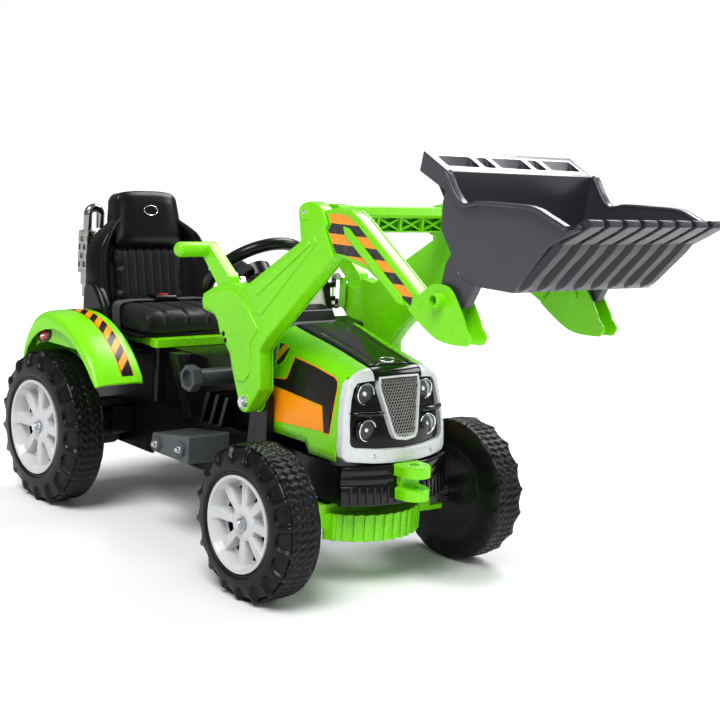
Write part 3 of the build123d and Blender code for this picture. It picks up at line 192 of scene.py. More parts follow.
def mix_colour(n, l, factor, first, second):
    node = n.new("ShaderNodeMix")
    node.data_type = "RGBA"
    for socket, value in ((node.inputs[6], first), (node.inputs[7], second)):
        if isinstance(value, (tuple, list)):
            socket.default_value = (*value, 1) if len(value) == 3 else value
        else:
            l.new(value, socket)
    l.new(factor, node.inputs[0])
    return node.outputs[2]


def bump_from(n, l, shader, height, strength, distance):
    """Fine relief from a height socket, in metres of depth."""
    bump = n.new("ShaderNodeBump")
    bump.inputs["Strength"].default_value = strength
    bump.inputs["Distance"].default_value = distance
    l.new(height, bump.inputs["Height"])
    l.new(bump.outputs[0], shader.inputs["Normal"])
    return bump


def moulded(name, colour, rough, grain, grain_depth, vary, wear, coat=0, round_mm=0, metal=0, spec=0.42):
    """Moulded plastic or metal: slight colour drift, scuffed edges, fine grain and softened edges."""
    mat, n, l, shader = material(name)
    coords = n.new("ShaderNodeTexCoord").outputs["Object"]
    broad = noise(n, l, coords, 7, 4)
    fine = noise(n, l, coords, 60, 6, 0.6)
    drift = remap(n, l, broad, 0, 1, 0.3, 0.7)
    deep, light = [c * (1 - vary) for c in colour], [min(1, c * (1 + vary)) for c in colour]
    base = mix_colour(n, l, drift, deep, light)
    point = n.new("ShaderNodeNewGeometry").outputs["Pointiness"]
    edge = remap(n, l, point, 0, 1, 0.53, 0.62)
    worn = n.new("ShaderNodeMath")
    worn.operation = "MULTIPLY"
    l.new(edge, worn.inputs[0])
    l.new(remap(n, l, fine, 0, wear, 0.4, 0.7), worn.inputs[1])
    pale = [min(1, c * 1.4 + 0.012) for c in colour]
    l.new(mix_colour(n, l, worn.outputs[0], base, pale), shader.inputs["Base Color"])
    l.new(remap(n, l, fine, max(0.02, rough - 0.05), rough + 0.06, 0.2, 0.8), shader.inputs["Roughness"])
    shader.inputs["Metallic"].default_value = metal
    shader.inputs["Specular IOR Level"].default_value = spec
    shader.inputs["Coat Weight"].default_value = coat
    shader.inputs["Coat Roughness"].default_value = 0.12
    bump = bump_from(n, l, shader, noise(n, l, coords, grain, 2), grain_depth, 0.0004)
    if round_mm:
        soft = n.new("ShaderNodeBevel")
        soft.samples = 4
        soft.inputs["Radius"].default_value = round_mm * MM
        l.new(soft.outputs[0], bump.inputs["Normal"])
    return mat


def stripes(name, axis, pitch, first, second, offset=0):
    """Printed sticker with bands square to an axis given in the row frame."""
    mat, n, l, shader = material(name)
    coords = n.new("ShaderNodeTexCoord").outputs["Object"]
    dot = n.new("ShaderNodeVectorMath")
    dot.operation = "DOT_PRODUCT"
    l.new(coords, dot.inputs[0])
    dot.inputs[1].default_value = axis
    steps = [("MULTIPLY", 1 / pitch), ("ADD", offset), ("FRACT", None), ("GREATER_THAN", 0.5)]
    value = dot.outputs["Value"]
    for operation, number in steps:
        node = n.new("ShaderNodeMath")
        node.operation = operation
        l.new(value, node.inputs[0])
        if number is not None:
            node.inputs[1].default_value = number
        value = node.outputs[0]
    fine = noise(n, l, coords, 90, 5)
    band = mix_colour(n, l, value, first, second)
    scuffs = remap(n, l, fine, 0, 0.12, 0.35, 0.75)
    l.new(mix_colour(n, l, scuffs, band, (0.5, 0.5, 0.5)), shader.inputs["Base Color"])
    l.new(remap(n, l, fine, 0.25, 0.42), shader.inputs["Roughness"])
    return mat


def leather(name, colour):
    """Grained artificial leather with a soft sheen."""
    mat, n, l, shader = material(name)
    coords = n.new("ShaderNodeTexCoord").outputs["Object"]
    broad = noise(n, l, coords, 9, 4)
    cells = n.new("ShaderNodeTexVoronoi")
    cells.inputs["Scale"].default_value = 420
    cells.feature = "DISTANCE_TO_EDGE"
    l.new(coords, cells.inputs["Vector"])
    drift = remap(n, l, broad, 0, 1, 0.3, 0.7)
    base = mix_colour(n, l, drift, [c * 0.8 for c in colour], [c * 1.4 for c in colour])
    l.new(base, shader.inputs["Base Color"])
    l.new(remap(n, l, broad, 0.4, 0.55, 0.3, 0.7), shader.inputs["Roughness"])
    shader.inputs["Specular IOR Level"].default_value = 0.35
    shader.inputs["Sheen Weight"].default_value = 0.08
    bump_from(n, l, shader, cells.outputs["Distance"], 0.35, 0.0006)
    return mat


def webbing_cloth(name, colour):
    """Woven strap."""
    mat, n, l, shader = material(name)
    coords = n.new("ShaderNodeTexCoord").outputs["Object"]
    wave = n.new("ShaderNodeTexWave")
    wave.inputs["Scale"].default_value = 300
    wave.inputs["Distortion"].default_value = 1
    wave.bands_direction = "DIAGONAL"
    l.new(coords, wave.inputs["Vector"])
    weave = mix_colour(n, l, wave.outputs["Fac"], [c * 0.6 for c in colour], [c * 1.5 for c in colour])
    l.new(weave, shader.inputs["Base Color"])
    shader.inputs["Roughness"].default_value = 0.7
    shader.inputs["Sheen Weight"].default_value = 0.3
    bump_from(n, l, shader, wave.outputs["Fac"], 0.5, 0.0005)
    return mat


def clear(name, colour, alpha, rough=0.06):
    """Smudged see-through plastic."""
    mat, n, l, shader = material(name)
    coords = n.new("ShaderNodeTexCoord").outputs["Object"]
    smudge = noise(n, l, coords, 25, 5)
    l.new(mix_colour(n, l, smudge, [c * 0.92 for c in colour], colour), shader.inputs["Base Color"])
    l.new(remap(n, l, smudge, rough, rough + 0.15, 0.35, 0.75), shader.inputs["Roughness"])
    shader.inputs["Alpha"].default_value = alpha
    shader.inputs["Coat Weight"].default_value = 0.6
    return mat


GREEN = (0.21, 0.66, 0.004)
BLACK = (0.0055, 0.0055, 0.006)
ORANGE = (0.92, 0.32, 0.006)
STICKER_BLACK = (0.015, 0.013, 0.012)

# colour, roughness, grain scale, grain depth, colour drift and edge wear
green = moulded("green_plastic", GREEN, 0.26, 700, 0.05, 0.06, 0.25, coat=0.14)
green_cad = moulded("green_plastic_rounded", GREEN, 0.26, 700, 0.05, 0.06, 0.25, coat=0.14, round_mm=1.2)
black = moulded("black_plastic", BLACK, 0.27, 800, 0.12, 0.2, 0.06, coat=0.06, spec=0.3)
black_cad = moulded(
    "black_plastic_rounded", BLACK, 0.24, 800, 0.1, 0.2, 0.15, coat=0.1, round_mm=1.2, spec=0.3
)
gloss_black = moulded("gloss_black", (0.004, 0.004, 0.0045), 0.12, 300, 0.02, 0.1, 0.1, coat=0.3, spec=0.35)
tyre_black = moulded("tyre_plastic", (0.006, 0.006, 0.0065), 0.36, 650, 0.12, 0.25, 0.2, coat=0.06, spec=0.3)
rim_grey = moulded("rim_plastic", (0.56, 0.565, 0.57), 0.34, 800, 0.1, 0.03, 0.1)
fascia_grey = moulded("fascia_plastic", (0.6, 0.61, 0.615), 0.26, 800, 0.06, 0.03, 0.1, coat=0.2)
foot_grey = moulded("footrest_plastic", (0.085, 0.09, 0.094), 0.4, 700, 0.25, 0.12, 0.3, round_mm=1.6)
tube_grey = moulded("tube_plastic", (0.065, 0.07, 0.075), 0.34, 700, 0.2, 0.12, 0.3, round_mm=1.2)
bucket_grey = moulded("bucket_plastic", (0.058, 0.06, 0.07), 0.3, 800, 0.08, 0.08, 0.3, coat=0.15)
# darker, duller copy of the bucket plastic for the ribs and teeth: painted shade on the underside
bucket_shaded = moulded("bucket_underside_shaded", (0.03, 0.031, 0.036), 0.36, 800, 0.08, 0.08, 0.3, coat=0.05)
steel = moulded("zinc_steel", (0.62, 0.63, 0.65), 0.28, 500, 0.1, 0.1, 0.2, metal=1)
chrome = moulded("chrome", (0.82, 0.82, 0.83), 0.08, 200, 0.02, 0.04, 0.1, metal=1, round_mm=0.8)
grille_chrome = moulded("grille_chrome", (0.66, 0.65, 0.62), 0.22, 300, 0.05, 0.05, 0.1, metal=1)
red = moulded("red_plastic", (0.55, 0.02, 0.015), 0.2, 400, 0.05, 0.1, 0.1, coat=0.5)
tail_lens = moulded("tail_lens", (0.42, 0.012, 0.01), 0.12, 300, 0.05, 0.15, 0.1, coat=0.8)
seat_leather = leather("seat_leather", (0.006, 0.006, 0.0065))
strap_cloth = webbing_cloth("strap_webbing", (0.011, 0.011, 0.012))
screen_clear = clear("windscreen_clear", (0.62, 0.58, 0.52), 0.55)
lens_clear = clear("lamp_lens", (0.85, 0.87, 0.88), 0.09, 0.03)
exhaust_chrome = moulded(
    "exhaust_chrome", (0.36, 0.35, 0.33), 0.14, 200, 0.02, 0.1, 0.1, metal=1, round_mm=0.8
)
reflector = moulded("reflector", (0.88, 0.89, 0.9), 0.16, 300, 0.03, 0.05, 0.1, metal=0.7)
sticker_black = moulded("sticker_black", STICKER_BLACK, 0.2, 300, 0.02, 0.15, 0.1)
sticker_orange = moulded("sticker_orange", ORANGE, 0.25, 300, 0.02, 0.1, 0.1)
notch_mat = stripes("sticker_notch", (0, 0.75, 0.66), 0.022, STICKER_BLACK, ORANGE)
boom_mat = stripes("sticker_boom", (0, 0.02, 1), 0.0305, STICKER_BLACK, ORANGE, offset=0.15)


# ---------------------------------------------------------------- mesh tools
def edge_angles(bm, angle):
    """Smooth faces with creases where they meet at more than an angle in degrees."""
    for edge in bm.edges:
        if len(edge.link_faces) == 2:
            edge.smooth = edge.calc_face_angle(0) < radians(angle)
    for face in bm.faces:
        face.smooth = True


def piece(name, verts, faces, mat, body, angle=35):
    """Object from points and faces that rides on a body; edges sharper than the angle stay crisp."""
    mesh = bpy.data.meshes.new(name)
    mesh.from_pydata([tuple(v) for v in verts], [], faces)
    mesh.validate()
    bm = bmesh.new()
    bm.from_mesh(mesh)
    bmesh.ops.remove_doubles(bm, verts=bm.verts, dist=1e-6)
    bmesh.ops.recalc_face_normals(bm, faces=bm.faces)
    edge_angles(bm, angle)
    bm.to_mesh(mesh)
    bm.free()
    mesh.materials.append(mat)
    obj = link(bpy.data.objects.new(name, mesh))
    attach(obj, body)
    return obj


def turns(steps):
    """Angles of evenly spaced steps round a full turn."""
    return [2 * pi * s / steps for s in range(steps)]


def prism_faces(count):
    """Faces of a closed form between two outlines of the same length."""
    walls = [(i, (i + 1) % count, count + (i + 1) % count, count + i) for i in range(count)]
    return [tuple(range(count)), tuple(range(2 * count - 1, count - 1, -1)), *walls]


def tube_faces(rows, columns):
    """Faces of a tube of closed rings with flat ends."""
    ends = [tuple(range(columns)), tuple((rows - 1) * columns + k for k in reversed(range(columns)))]
    return grid_faces(rows, columns, closed_columns=True) + ends


def bevel(obj, width_mm, segments=3, angle=30):
    """Rounds the edges that are sharper than the angle."""
    mod = obj.modifiers.new("bevel", "BEVEL")
    mod.width = width_mm * MM
    mod.segments = segments
    mod.limit_method = "ANGLE"
    mod.angle_limit = radians(angle)
    return obj


def slab(name, points, x_low, x_high, mat, body, width=0, segments=3):
    """Plate between two x values from an outline of (distance behind the front axle, height)."""
    verts = [at(x, y, z) for x in (x_low, x_high) for y, z in points]
    obj = piece(name, verts, prism_faces(len(points)), mat, body, angle=50)
    if width:
        bevel(obj, width, segments)
    return obj


def side_slab(name, points, inner, outer, flip, mat, body, width=0, segments=3):
    """Plate on one side of the toy, between two distances from its middle."""
    low, high = sorted((flip * inner, flip * outer))
    return slab(name, points, low, high, mat, body, width, segments)


def grid_faces(rows, columns, closed_rows=False, closed_columns=False):
    """Four-sided faces between rows of points, joined round where a direction is closed."""
    faces = []
    for r in range(rows if closed_rows else rows - 1):
        for c in range(columns if closed_columns else columns - 1):
            r2, c2 = (r + 1) % rows, (c + 1) % columns
            faces.append((r * columns + c, r * columns + c2, r2 * columns + c2, r2 * columns + c))
    return faces


def smoothstep(low, high, value):
    """0 below low, 1 above high and a soft ramp between."""
    t = min(1, max(0, (value - low) / (high - low)))
    return t * t * (3 - 2 * t)


def interpolate(points, value):
    """Height at a value on a broken line of points."""
    for (a, b), (c, d) in zip(points, points[1:]):
        if value <= c:
            return b + (d - b) * max(0, (value - a)) / (c - a)
    return points[-1][1]


# ---------------------------------------------------------------- wheels
SCALLOPS, SCALLOP_DEPTH, TREAD_DEPTH = 18, 7.5, 2.6
PLAIN, SHOULDER, TREAD, INNER_SHOULDER = range(4)


def on_wheel(flip, x, r, turn, centre_y, radius):
    """Point at a distance and angle round the axle of a wheel that stands on the floor."""
    return at(flip * x, centre_y + r * sin(turn), radius + r * cos(turn))


def tyre_profile(bead, wall, radius, inner_x, outer_x):
    """Section of (x, distance from the axle, kind of surface), from the outer bead to the inner one."""
    profile = [
        (WHEEL_OUT - back, bead + rise, PLAIN)
        for back, rise in ((14, -3), (7, -1), (4, 1), (2.6, 3.5), (3.4, 5.5), (1.4, 7))
    ]
    profile.append((outer_x, bead + 9, PLAIN))
    for i in range(1, 21):
        angle = i / 20 * pi / 2
        r = bead + 9 + (wall - 9.5) * sin(angle) ** 1.15
        profile.append((outer_x - 14 * (1 - cos(angle)) ** 0.9, r, SHOULDER))
    tread_out, tread_in = outer_x - 16, inner_x + 11
    profile += [(tread_out + (tread_in - tread_out) * i / 18, radius - 0.2, TREAD) for i in range(19)]
    for i in range(1, 13):
        angle = pi / 2 * (1 - i / 12)
        r = bead + 4 + (wall - 4.5) * sin(angle) ** 0.9
        profile.append((inner_x + 10 - 9.5 * cos(angle), r, INNER_SHOULDER))
    return [*profile, (inner_x + 1.5, bead - 2, PLAIN)]


def tyre(name, node, body, flip, centre_y, radius, rim_r):
    """Tyre skin turned round the axle, with zig-zag tread and raised-rim scallops on the shoulders."""
    bead = rim_r + 1.6
    wall = radius - bead
    inner_x, outer_x = WHEEL_OUT - 78, WHEEL_OUT - 0.6
    tread_out, tread_in = outer_x - 16, inner_x + 11
    profile = tyre_profile(bead, wall, radius, inner_x, outer_x)
    steps = 360
    verts = []
    for s, turn in enumerate(turns(steps)):
        phase = (s * SCALLOPS / steps) % 1
        u = abs(phase - 0.5) / 0.5
        for x, r, kind in profile:
            level = (r - bead) / wall
            if kind == SHOULDER:
                v = (level - 0.74) / 0.34
                inside = hypot(u / 0.93, v) if v < 0 else max(u / 0.93, v * 0.9)
                dent = 1 - smoothstep(0.66, 0.97, inside)
                ridge = smoothstep(0.78, 0.93, inside) * (1 - smoothstep(0.98, 1.14, inside))
                ridge *= smoothstep(0.2, 0.35, level) * (1 - smoothstep(0.9, 0.99, level))
                drop = dent * SCALLOP_DEPTH - ridge * 0.9
                x -= max(0, drop) * 0.55
                r -= drop * (0.75 if drop > 0 else 0.3) * smoothstep(0.1, 0.6, level)
            if kind == TREAD:
                across = (x - tread_in) / (tread_out - tread_in)
                zig = (s / 6 + 0.5 * abs(((across * 6) % 2) - 1)) % 1
                groove = 1 - smoothstep(0.24, 0.34, abs(zig - 0.5))
                groove *= smoothstep(0.02, 0.09, across) * (1 - smoothstep(0.91, 0.98, across))
                middle_cut = 1 - smoothstep(0.012, 0.03, abs(across - 0.5))
                r -= TREAD_DEPTH * max(groove, middle_cut)
                wave = 0.5 - 0.5 * cos(2 * pi * (phase - 0.5))
                edge = smoothstep(0.86, 1, across) + smoothstep(0.14, 0, across)
                r -= (1 - wave) * 3.6 * edge
            if kind == INNER_SHOULDER:
                inside = hypot(u / 0.8, (level - 0.66) / 0.36)
                r -= (1 - smoothstep(0.7, 0.95, inside)) * 4.5
            verts.append(on_wheel(flip, x, min(r, radius - 0.1), turn, centre_y, radius))
    faces = grid_faces(steps, len(profile), closed_rows=True, closed_columns=True)
    obj = piece(name, verts, faces, tyre_black, body, angle=60)
    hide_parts(node)


RIM_WINDOWS, WINDOW_DEPTH = 8, 15
# share of the rim's radius where the face is sampled, closer together where it bends
RIM_LEVELS = (
    0, 0.1, 0.18, 0.29, 0.34, 0.37, 0.40, 0.42, 0.46, 0.52, 0.58, 0.64, 0.7, 0.75, 0.79, 0.81, 0.84, 0.87,
    0.9, 0.93, 0.955, 0.975, 0.99,
)


def rim_depth(level, phase, face_x, lip_x):
    """Height of the rim's face, and how far it is cut away for a window."""
    spoke = abs(phase - 0.5) * 2  # 1 on the spoke's middle, 0 in the window's middle
    half = 0.36 + 0.16 * (level - 0.4) / 0.4
    cut_away = 1 - smoothstep(half, half + 0.17, spoke)
    cut_away *= smoothstep(0.36, 0.43, level) * (1 - smoothstep(0.86, 0.96, level))
    x = face_x + 1.5
    x += 3 * (1 - smoothstep(0.25, 0.33, level)) - 3.4 * (1 - smoothstep(0.15, 0.2, level))
    x += (lip_x - face_x - 1.5) * smoothstep(0.86, 0.955, level)
    return x - WINDOW_DEPTH * cut_away, cut_away


def rim(name, node, body, flip, centre_y, radius, rim_r):
    """Dished rim: flat-topped spokes that narrow to the hub, with through windows between them."""
    face_x, lip_x, back_x = WHEEL_OUT - 15.6, WHEEL_OUT - 1.2, WHEEL_OUT - 76
    steps = 320
    verts, faces, open_cells = [], [], set()
    for i, level in enumerate(RIM_LEVELS):
        for s, turn in enumerate(turns(steps)):
            x, cut_away = rim_depth(level, (s * RIM_WINDOWS / steps) % 1, face_x, lip_x)
            verts.append(on_wheel(flip, x, level * rim_r, turn, centre_y, radius))
            if cut_away > 0.97 and level < 0.8:
                open_cells.add((i, s))
    # rolled lip and barrel
    lip = ((lip_x + 0.6, 0.998), (lip_x + 0.2, 1.012), (lip_x - 1.2, 1.018), (lip_x - 5, 1))
    barrel = ((back_x, 0.985), (back_x, 0.94), (face_x - 26, 0.92), (face_x - 15.5, 0.9))
    for x, level in lip + barrel:
        r = min(level * rim_r, rim_r + 1.2)
        verts += [on_wheel(flip, x, r, turn, centre_y, radius) for turn in turns(steps)]
    for i in range(len(RIM_LEVELS) + len(lip + barrel) - 1):
        for s in range(steps):
            s2 = (s + 1) % steps
            corners = ((i, s), (i, s2), (i + 1, s2), (i + 1, s))
            if not all(corner in open_cells for corner in corners):
                faces.append(tuple(a * steps + b for a, b in corners))
    obj = piece(name, verts, faces, rim_grey, body, angle=40)
    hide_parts(node)
    # black drum inside the wheel: painted shade seen through the windows
    wall = ((back_x - 0.5, 12), (back_x - 0.5, 0.995 * rim_r), (back_x + 2, 0.99 * rim_r))
    floor = ((face_x - 17.5, 0.88 * rim_r), (face_x - 17.5, 12))
    shade_drum = [on_wheel(flip, x, r, turn, centre_y, radius) for x, r in wall + floor for turn in turns(64)]
    faces = grid_faces(5, 64, closed_rows=True, closed_columns=True)
    inner = piece(name + "_drum", shade_drum, faces, black, body)


def wheels():
    """Four tyres and rims, each on its own wheel body."""
    ends = (("front", 0, FRONT_R, FRONT_RIM_R), ("rear", REAR_Y, REAR_R, REAR_RIM_R))
    for side, flip in SIDES:
        for kind, make in (("tyre", tyre), ("rim", rim)):
            for end, y, r, rim_r in ends:
                body = f"{end}_wheel_{side}"
                make(f"{end}_{kind}_skin_{side}", f"{end}_{kind}_{side}", body, flip, y, r, rim_r)


# ---------------------------------------------------------------- seat
SEAT_RAKE = radians(10.9)
BACK_ROOT_Y, BACK_ROOT_Z = 667, 345
CUSHION_HALF, CUSHION_FOOT = 119, 338


def seat_point(x, up, forward):
    """Point on the backrest: x across, distance up its front face, distance out of it towards the rider."""
    y = BACK_ROOT_Y + up * sin(SEAT_RAKE) - forward * cos(SEAT_RAKE)
    z = BACK_ROOT_Z + up * cos(SEAT_RAKE) + forward * sin(SEAT_RAKE)
    return at(x, y, z)


def closed_sheet(name, rows, columns, front, back, mat, body, angle=60):
    """Closed form from a front and a back function of (u, v), both from -1..1 across and 0..1 up."""
    spots = [(2 * c / (columns - 1) - 1, r / (rows - 1)) for r in range(rows) for c in range(columns)]
    verts = [layer(u, v) for layer in (front, back) for u, v in spots]
    per = rows * columns
    faces = grid_faces(rows, columns)
    faces += [tuple(per + i for i in reversed(f)) for f in grid_faces(rows, columns)]
    ring = [(0, c) for c in range(columns)] + [(r, columns - 1) for r in range(1, rows)]
    ring += [(rows - 1, c) for c in range(columns - 2, -1, -1)] + [(r, 0) for r in range(rows - 2, 0, -1)]
    ids = [r * columns + c for r, c in ring]
    for i, a in enumerate(ids):
        b = ids[(i + 1) % len(ids)]
        faces.append((a, b, per + b, per + a))
    return piece(name, verts, faces, mat, body, angle=angle)


# share of the backrest's height and half width there
BACK_WIDTH = [(0, 120), (0.12, 130), (0.3, 134), (0.5, 134), (0.66, 130), (0.78, 119), (0.87, 102)]
BACK_WIDTH += [(0.94, 82), (1, 62)]
BACK_FOOT, BACK_TOP = -14, 198


def back_width(v):
    """Half width of the backrest at a share of its height, evened out over its neighbours."""
    low, high = max(0, v - 0.05), min(1, v + 0.05)
    return (interpolate(BACK_WIDTH, low) + interpolate(BACK_WIDTH, v) + interpolate(BACK_WIDTH, high)) / 3


def backrest_front(u, v):
    """Hollow front with a raised wing and a rolled edge on each side."""
    edge = abs(u)
    wing = 26 * smoothstep(0.62, 0.9, edge) * (1 - smoothstep(0.8, 1, v) * 0.6)
    roll = -20 * smoothstep(0.93, 1, edge)
    inset = -9 * (1 - smoothstep(0.66, 0.8, edge)) * smoothstep(0.08, 0.16, v)
    return seat_point(u * back_width(v), BACK_FOOT + v * (BACK_TOP - BACK_FOOT), wing + roll + inset)


def backrest_back(u, v):
    """Bulging back that thins towards its edges and its top."""
    edge = abs(u)
    bulge = 34 - 16 * smoothstep(0.7, 1, edge) - 10 * smoothstep(0.8, 1, v)
    return seat_point(u * back_width(v), BACK_FOOT + v * (BACK_TOP - BACK_FOOT), -bulge)


def headrest_layer(side):
    """Front (side 1) or back (side -1) of the headrest pad."""

    def layer(u, v):
        width = 77 - 8 * smoothstep(0.2, 1, v)
        corner = max(0, (v - 0.82) / 0.18)
        width *= 1 - 0.16 * corner**2.5
        width *= 1 - 0.10 * max(0, (0.12 - v) / 0.12) ** 2
        up = 136 + v * 110 - 4 * abs(u) ** 3 * smoothstep(0.6, 1, v)
        rim = (1 - abs(u) ** 5) * (1 - abs(2 * v - 1) ** 6)
        depth = (6 + 11 * rim) if side > 0 else (-26 - 8 * rim)
        return seat_point(u * width, up, depth)

    return layer


CLOTH_STEPS = 20


def inflate(obj, cap_mm, voxel_mm=5):
    """Swells a closed pad with cloth pressure, then writes the shape into its mesh."""
    remesh = obj.modifiers.new("remesh", "REMESH")
    remesh.mode = "VOXEL"
    remesh.voxel_size = voxel_mm * MM
    apply_modifiers(obj)
    start = [v.co.copy() for v in obj.data.vertices]
    cloth = obj.modifiers.new("cloth", "CLOTH")
    cloth.settings.use_pressure = True
    cloth.settings.uniform_pressure_force = 4
    cloth.settings.effector_weights.gravity = 0
    cloth.settings.quality = 6
    cloth.settings.mass = 0.3
    scene = bpy.context.scene
    for step in range(1, CLOTH_STEPS + 1):
        scene.frame_set(step)
    graph = bpy.context.evaluated_depsgraph_get()
    solved = obj.evaluated_get(graph)
    points = [v.co.copy() for v in solved.data.vertices]
    obj.modifiers.remove(cloth)
    scene.frame_set(1)
    for vert, first, last in zip(obj.data.vertices, start, points):
        move = last - first
        if move.length > cap_mm * MM:
            move = move.normalized() * cap_mm * MM
        vert.co = first + move
    return obj


def apply_modifiers(obj):
    """Writes the result of the modifiers into the mesh and keeps its materials."""
    graph = bpy.context.evaluated_depsgraph_get()
    fresh = bpy.data.meshes.new_from_object(obj.evaluated_get(graph))
    materials = list(obj.data.materials)
    obj.modifiers.clear()
    obj.data = fresh
    fresh.materials.clear()
    for mat in materials:
        fresh.materials.append(mat)


def subdivide_smooth(obj, iterations):
    """Evens out a remeshed pad and doubles its resolution."""
    smooth = obj.modifiers.new("smooth", "SMOOTH")
    smooth.factor = 0.5
    smooth.iterations = iterations
    sub = obj.modifiers.new("subdivide", "SUBSURF")
    sub.levels = sub.render_levels = 1
    apply_modifiers(obj)
    for face in obj.data.polygons:
        face.use_smooth = True


def cushion_form():
    """Block cushion with a tall rolled front, a crowned top and slightly pinched corners."""
    columns, verts = 40, []
    section = [(654, 334), (514, 333.5), (505, 335), (502.5, 344), (503.5, 362), (507.5, 370), (517, 374)]
    section += [(560, 375.5), (610, 375), (648, 371), (655, 364)]
    for c in range(columns):
        u = 2 * c / (columns - 1) - 1
        edge = smoothstep(0.8, 1, abs(u))
        for y, z in section:
            rise = z - CUSHION_FOOT
            pinch = 4 if y < 530 else -3
            x = u * (CUSHION_HALF - 2 * rise / 35)
            verts.append(at(x, y + pinch * edge, CUSHION_FOOT + rise * (1 - 0.12 * edge)))
    faces = tube_faces(columns, len(section))
    return piece("seat_cushion_pad", verts, faces, seat_leather, "chassis", angle=60)


def press_channels(obj, lines, width_mm, depth_mm, direction, keep):
    """Pushes sewn lines into a pad.

    Each line is a function from a point to its distance from the line, in millimetres, and keep
    gives the share of the depth at a point.
    """
    for vert in obj.data.vertices:
        local = (vert.co.x / MM, (vert.co.y - AXLE_Y) / MM, vert.co.z / MM)
        weight = keep(local)
        if weight <= 0:
            continue
        sink = max(exp(-((line(local) / width_mm) ** 2)) for line in lines)
        vert.co += Vector(direction) * sink * depth_mm * MM * weight


def seat_shell():
    """Black shell, headrest, pan and hips of the seat."""
    shell = closed_sheet("seat_back_shell", 54, 74, backrest_front, backrest_back, black, "chassis")
    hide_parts("seat_shell")
    bevel(shell, 3, 3, 50)
    head = closed_sheet("headrest", 34, 44, headrest_layer(1), headrest_layer(-1), black, "chassis", 70)
    bevel(head, 5, 4, 40)
    # pan under the cushion with raised hips at the back
    pan_points = [(509, 328.4), (510, 334.5), (600, 335), (664, 340), (700, 352), (700, 328.4)]
    pan = slab("seat_pan", pan_points, -130, 130, black, "chassis", 2)
    hip_points = [(614, 330), (617, 350), (628, 374), (646, 398), (668, 416), (694, 416)]
    hip_points += [(706, 398), (706, 330)]
    for side, flip in SIDES:
        hip = side_slab(f"seat_hip_{side}", hip_points, 116, 138, flip, black, "chassis", 9, 5)


def seat_cushion():
    """Padded seat with four sewn channels and a seam along its rolled front."""
    cushion = inflate(cushion_form(), 4)
    subdivide_smooth(cushion, 4)

    def channel(target):
        # channels curve outwards a little towards the front, as sewn
        return lambda p: p[0] - target * (1 + 0.10 * smoothstep(600, 510, p[1]))

    def top(p):
        return smoothstep(346, 356, p[2]) * smoothstep(655, 610, p[1])

    def front(p):
        return 1 if p[1] < 514 else 0

    press_channels(cushion, [channel(t) for t in (-66, -22, 22, 66)], 3.2, 4.6, (0, 0.25, -1), top)
    press_channels(cushion, [lambda p: p[2] - 347], 2.2, 2.2, (0, 1, 0), front)
    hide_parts("seat_cushion")


def back_pad_layer(depth):
    """Front or back of the backrest pad, which follows the shell's outline."""

    def layer(u, v):
        width = back_width(0.12 + 0.62 * v) * 0.66 - 4
        corner = max(0, abs(2 * v - 1) - 0.8) / 0.2
        width *= 1 - 0.08 * corner**2
        return seat_point(u * width, 18 + v * 126, depth)

    return layer


def seat_back_pad():
    """Padded backrest cover with six upright channels."""
    pad = closed_sheet(
        "backrest_cover", 20, 30, back_pad_layer(-3), back_pad_layer(-12), seat_leather, "chassis"
    )
    pad = inflate(pad, 8, 4.5)
    subdivide_smooth(pad, 3)
    ribs = [(lambda p, t=t: p[0] - t) for t in (-48, -29, -10, 10, 29, 48)]
    out = seat_point(0, 0, 1) - seat_point(0, 0, 0)
    inward = (0, -out.y / MM, -out.z / MM)

    def face(p):
        return smoothstep(372, 384, p[2]) * smoothstep(486, 474, p[2])

    press_channels(pad, ribs, 3.2, 5.5, inward, face)
    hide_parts("backrest_pad")


def curve_at(a, b, c, d, t):
    """Value between b and c of a smooth curve through four values."""
    square, cube = 2 * a - 5 * b + 4 * c - d, 3 * b - a - 3 * c + d
    return 0.5 * (2 * b + (c - a) * t + square * t * t + cube * t**3)


def smooth_line(points, cuts):
    """Points on a smooth curve through the given ones."""
    line, last = [], len(points) - 1
    for i in range(last):
        four = [points[max(0, i - 1)], points[i], points[i + 1], points[min(last, i + 2)]]
        line += [tuple(curve_at(*values, k / cuts) for values in zip(*four)) for k in range(cuts)]
    line.append(tuple(points[last]))
    return line


def strap(name, path, width_mm, thick_mm, mat, body):
    """Flat strap along a path of row-frame points, its width square to the side of the toy."""
    verts = []
    side = Vector((0, 1, 0))
    count = len(path)
    for i, point in enumerate(path):
        ahead = (path[min(i + 1, count - 1)] - path[max(i - 1, 0)]).normalized()
        normal = ahead.cross(side).normalized()
        for sx, sn in ((-1, -1), (1, -1), (1, 1), (-1, 1)):
            verts.append(point + side * sx * width_mm * MM / 2 + normal * sn * thick_mm * MM / 2)
    obj = piece(name, verts, tube_faces(count, 4), mat, body, angle=30)
    bevel(obj, 0.6, 2)
    return obj


def belt():
    """Lap belt with its buckle on the cushion."""
    for side, flip in SIDES:
        # over the cushion from the buckle, then down its side to the pan
        guide = [(18, 632, 383.5), (34, 631, 381.5), (66, 628, 382.2), (92, 622, 381.6)]
        guide += [(111, 613, 381), (121, 606, 375.5), (124.6, 601, 362), (124.8, 597, 346), (124, 595, 336)]
        path = [at(flip * x, y, z) for x, y, z in smooth_line(guide, 6)]
        strap(f"belt_{side}", path, 25, 1.8, strap_cloth, "chassis")
    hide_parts("lap_belt")
    case = [(616, 381), (616, 388), (621, 391.5), (644, 391.5), (650, 388), (650, 381)]
    buckle = slab("belt_buckle_shell", case, -24, 24, black, "chassis", 2.5)
    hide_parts("belt_buckle")
    cap = [(625, 390.5), (625, 392.5), (639, 392.5), (639, 390.5)]
    button = slab("belt_button", cap, -9, 9, red, "chassis", 0.8)


# ---------------------------------------------------------------- fenders
CREST_R = 219


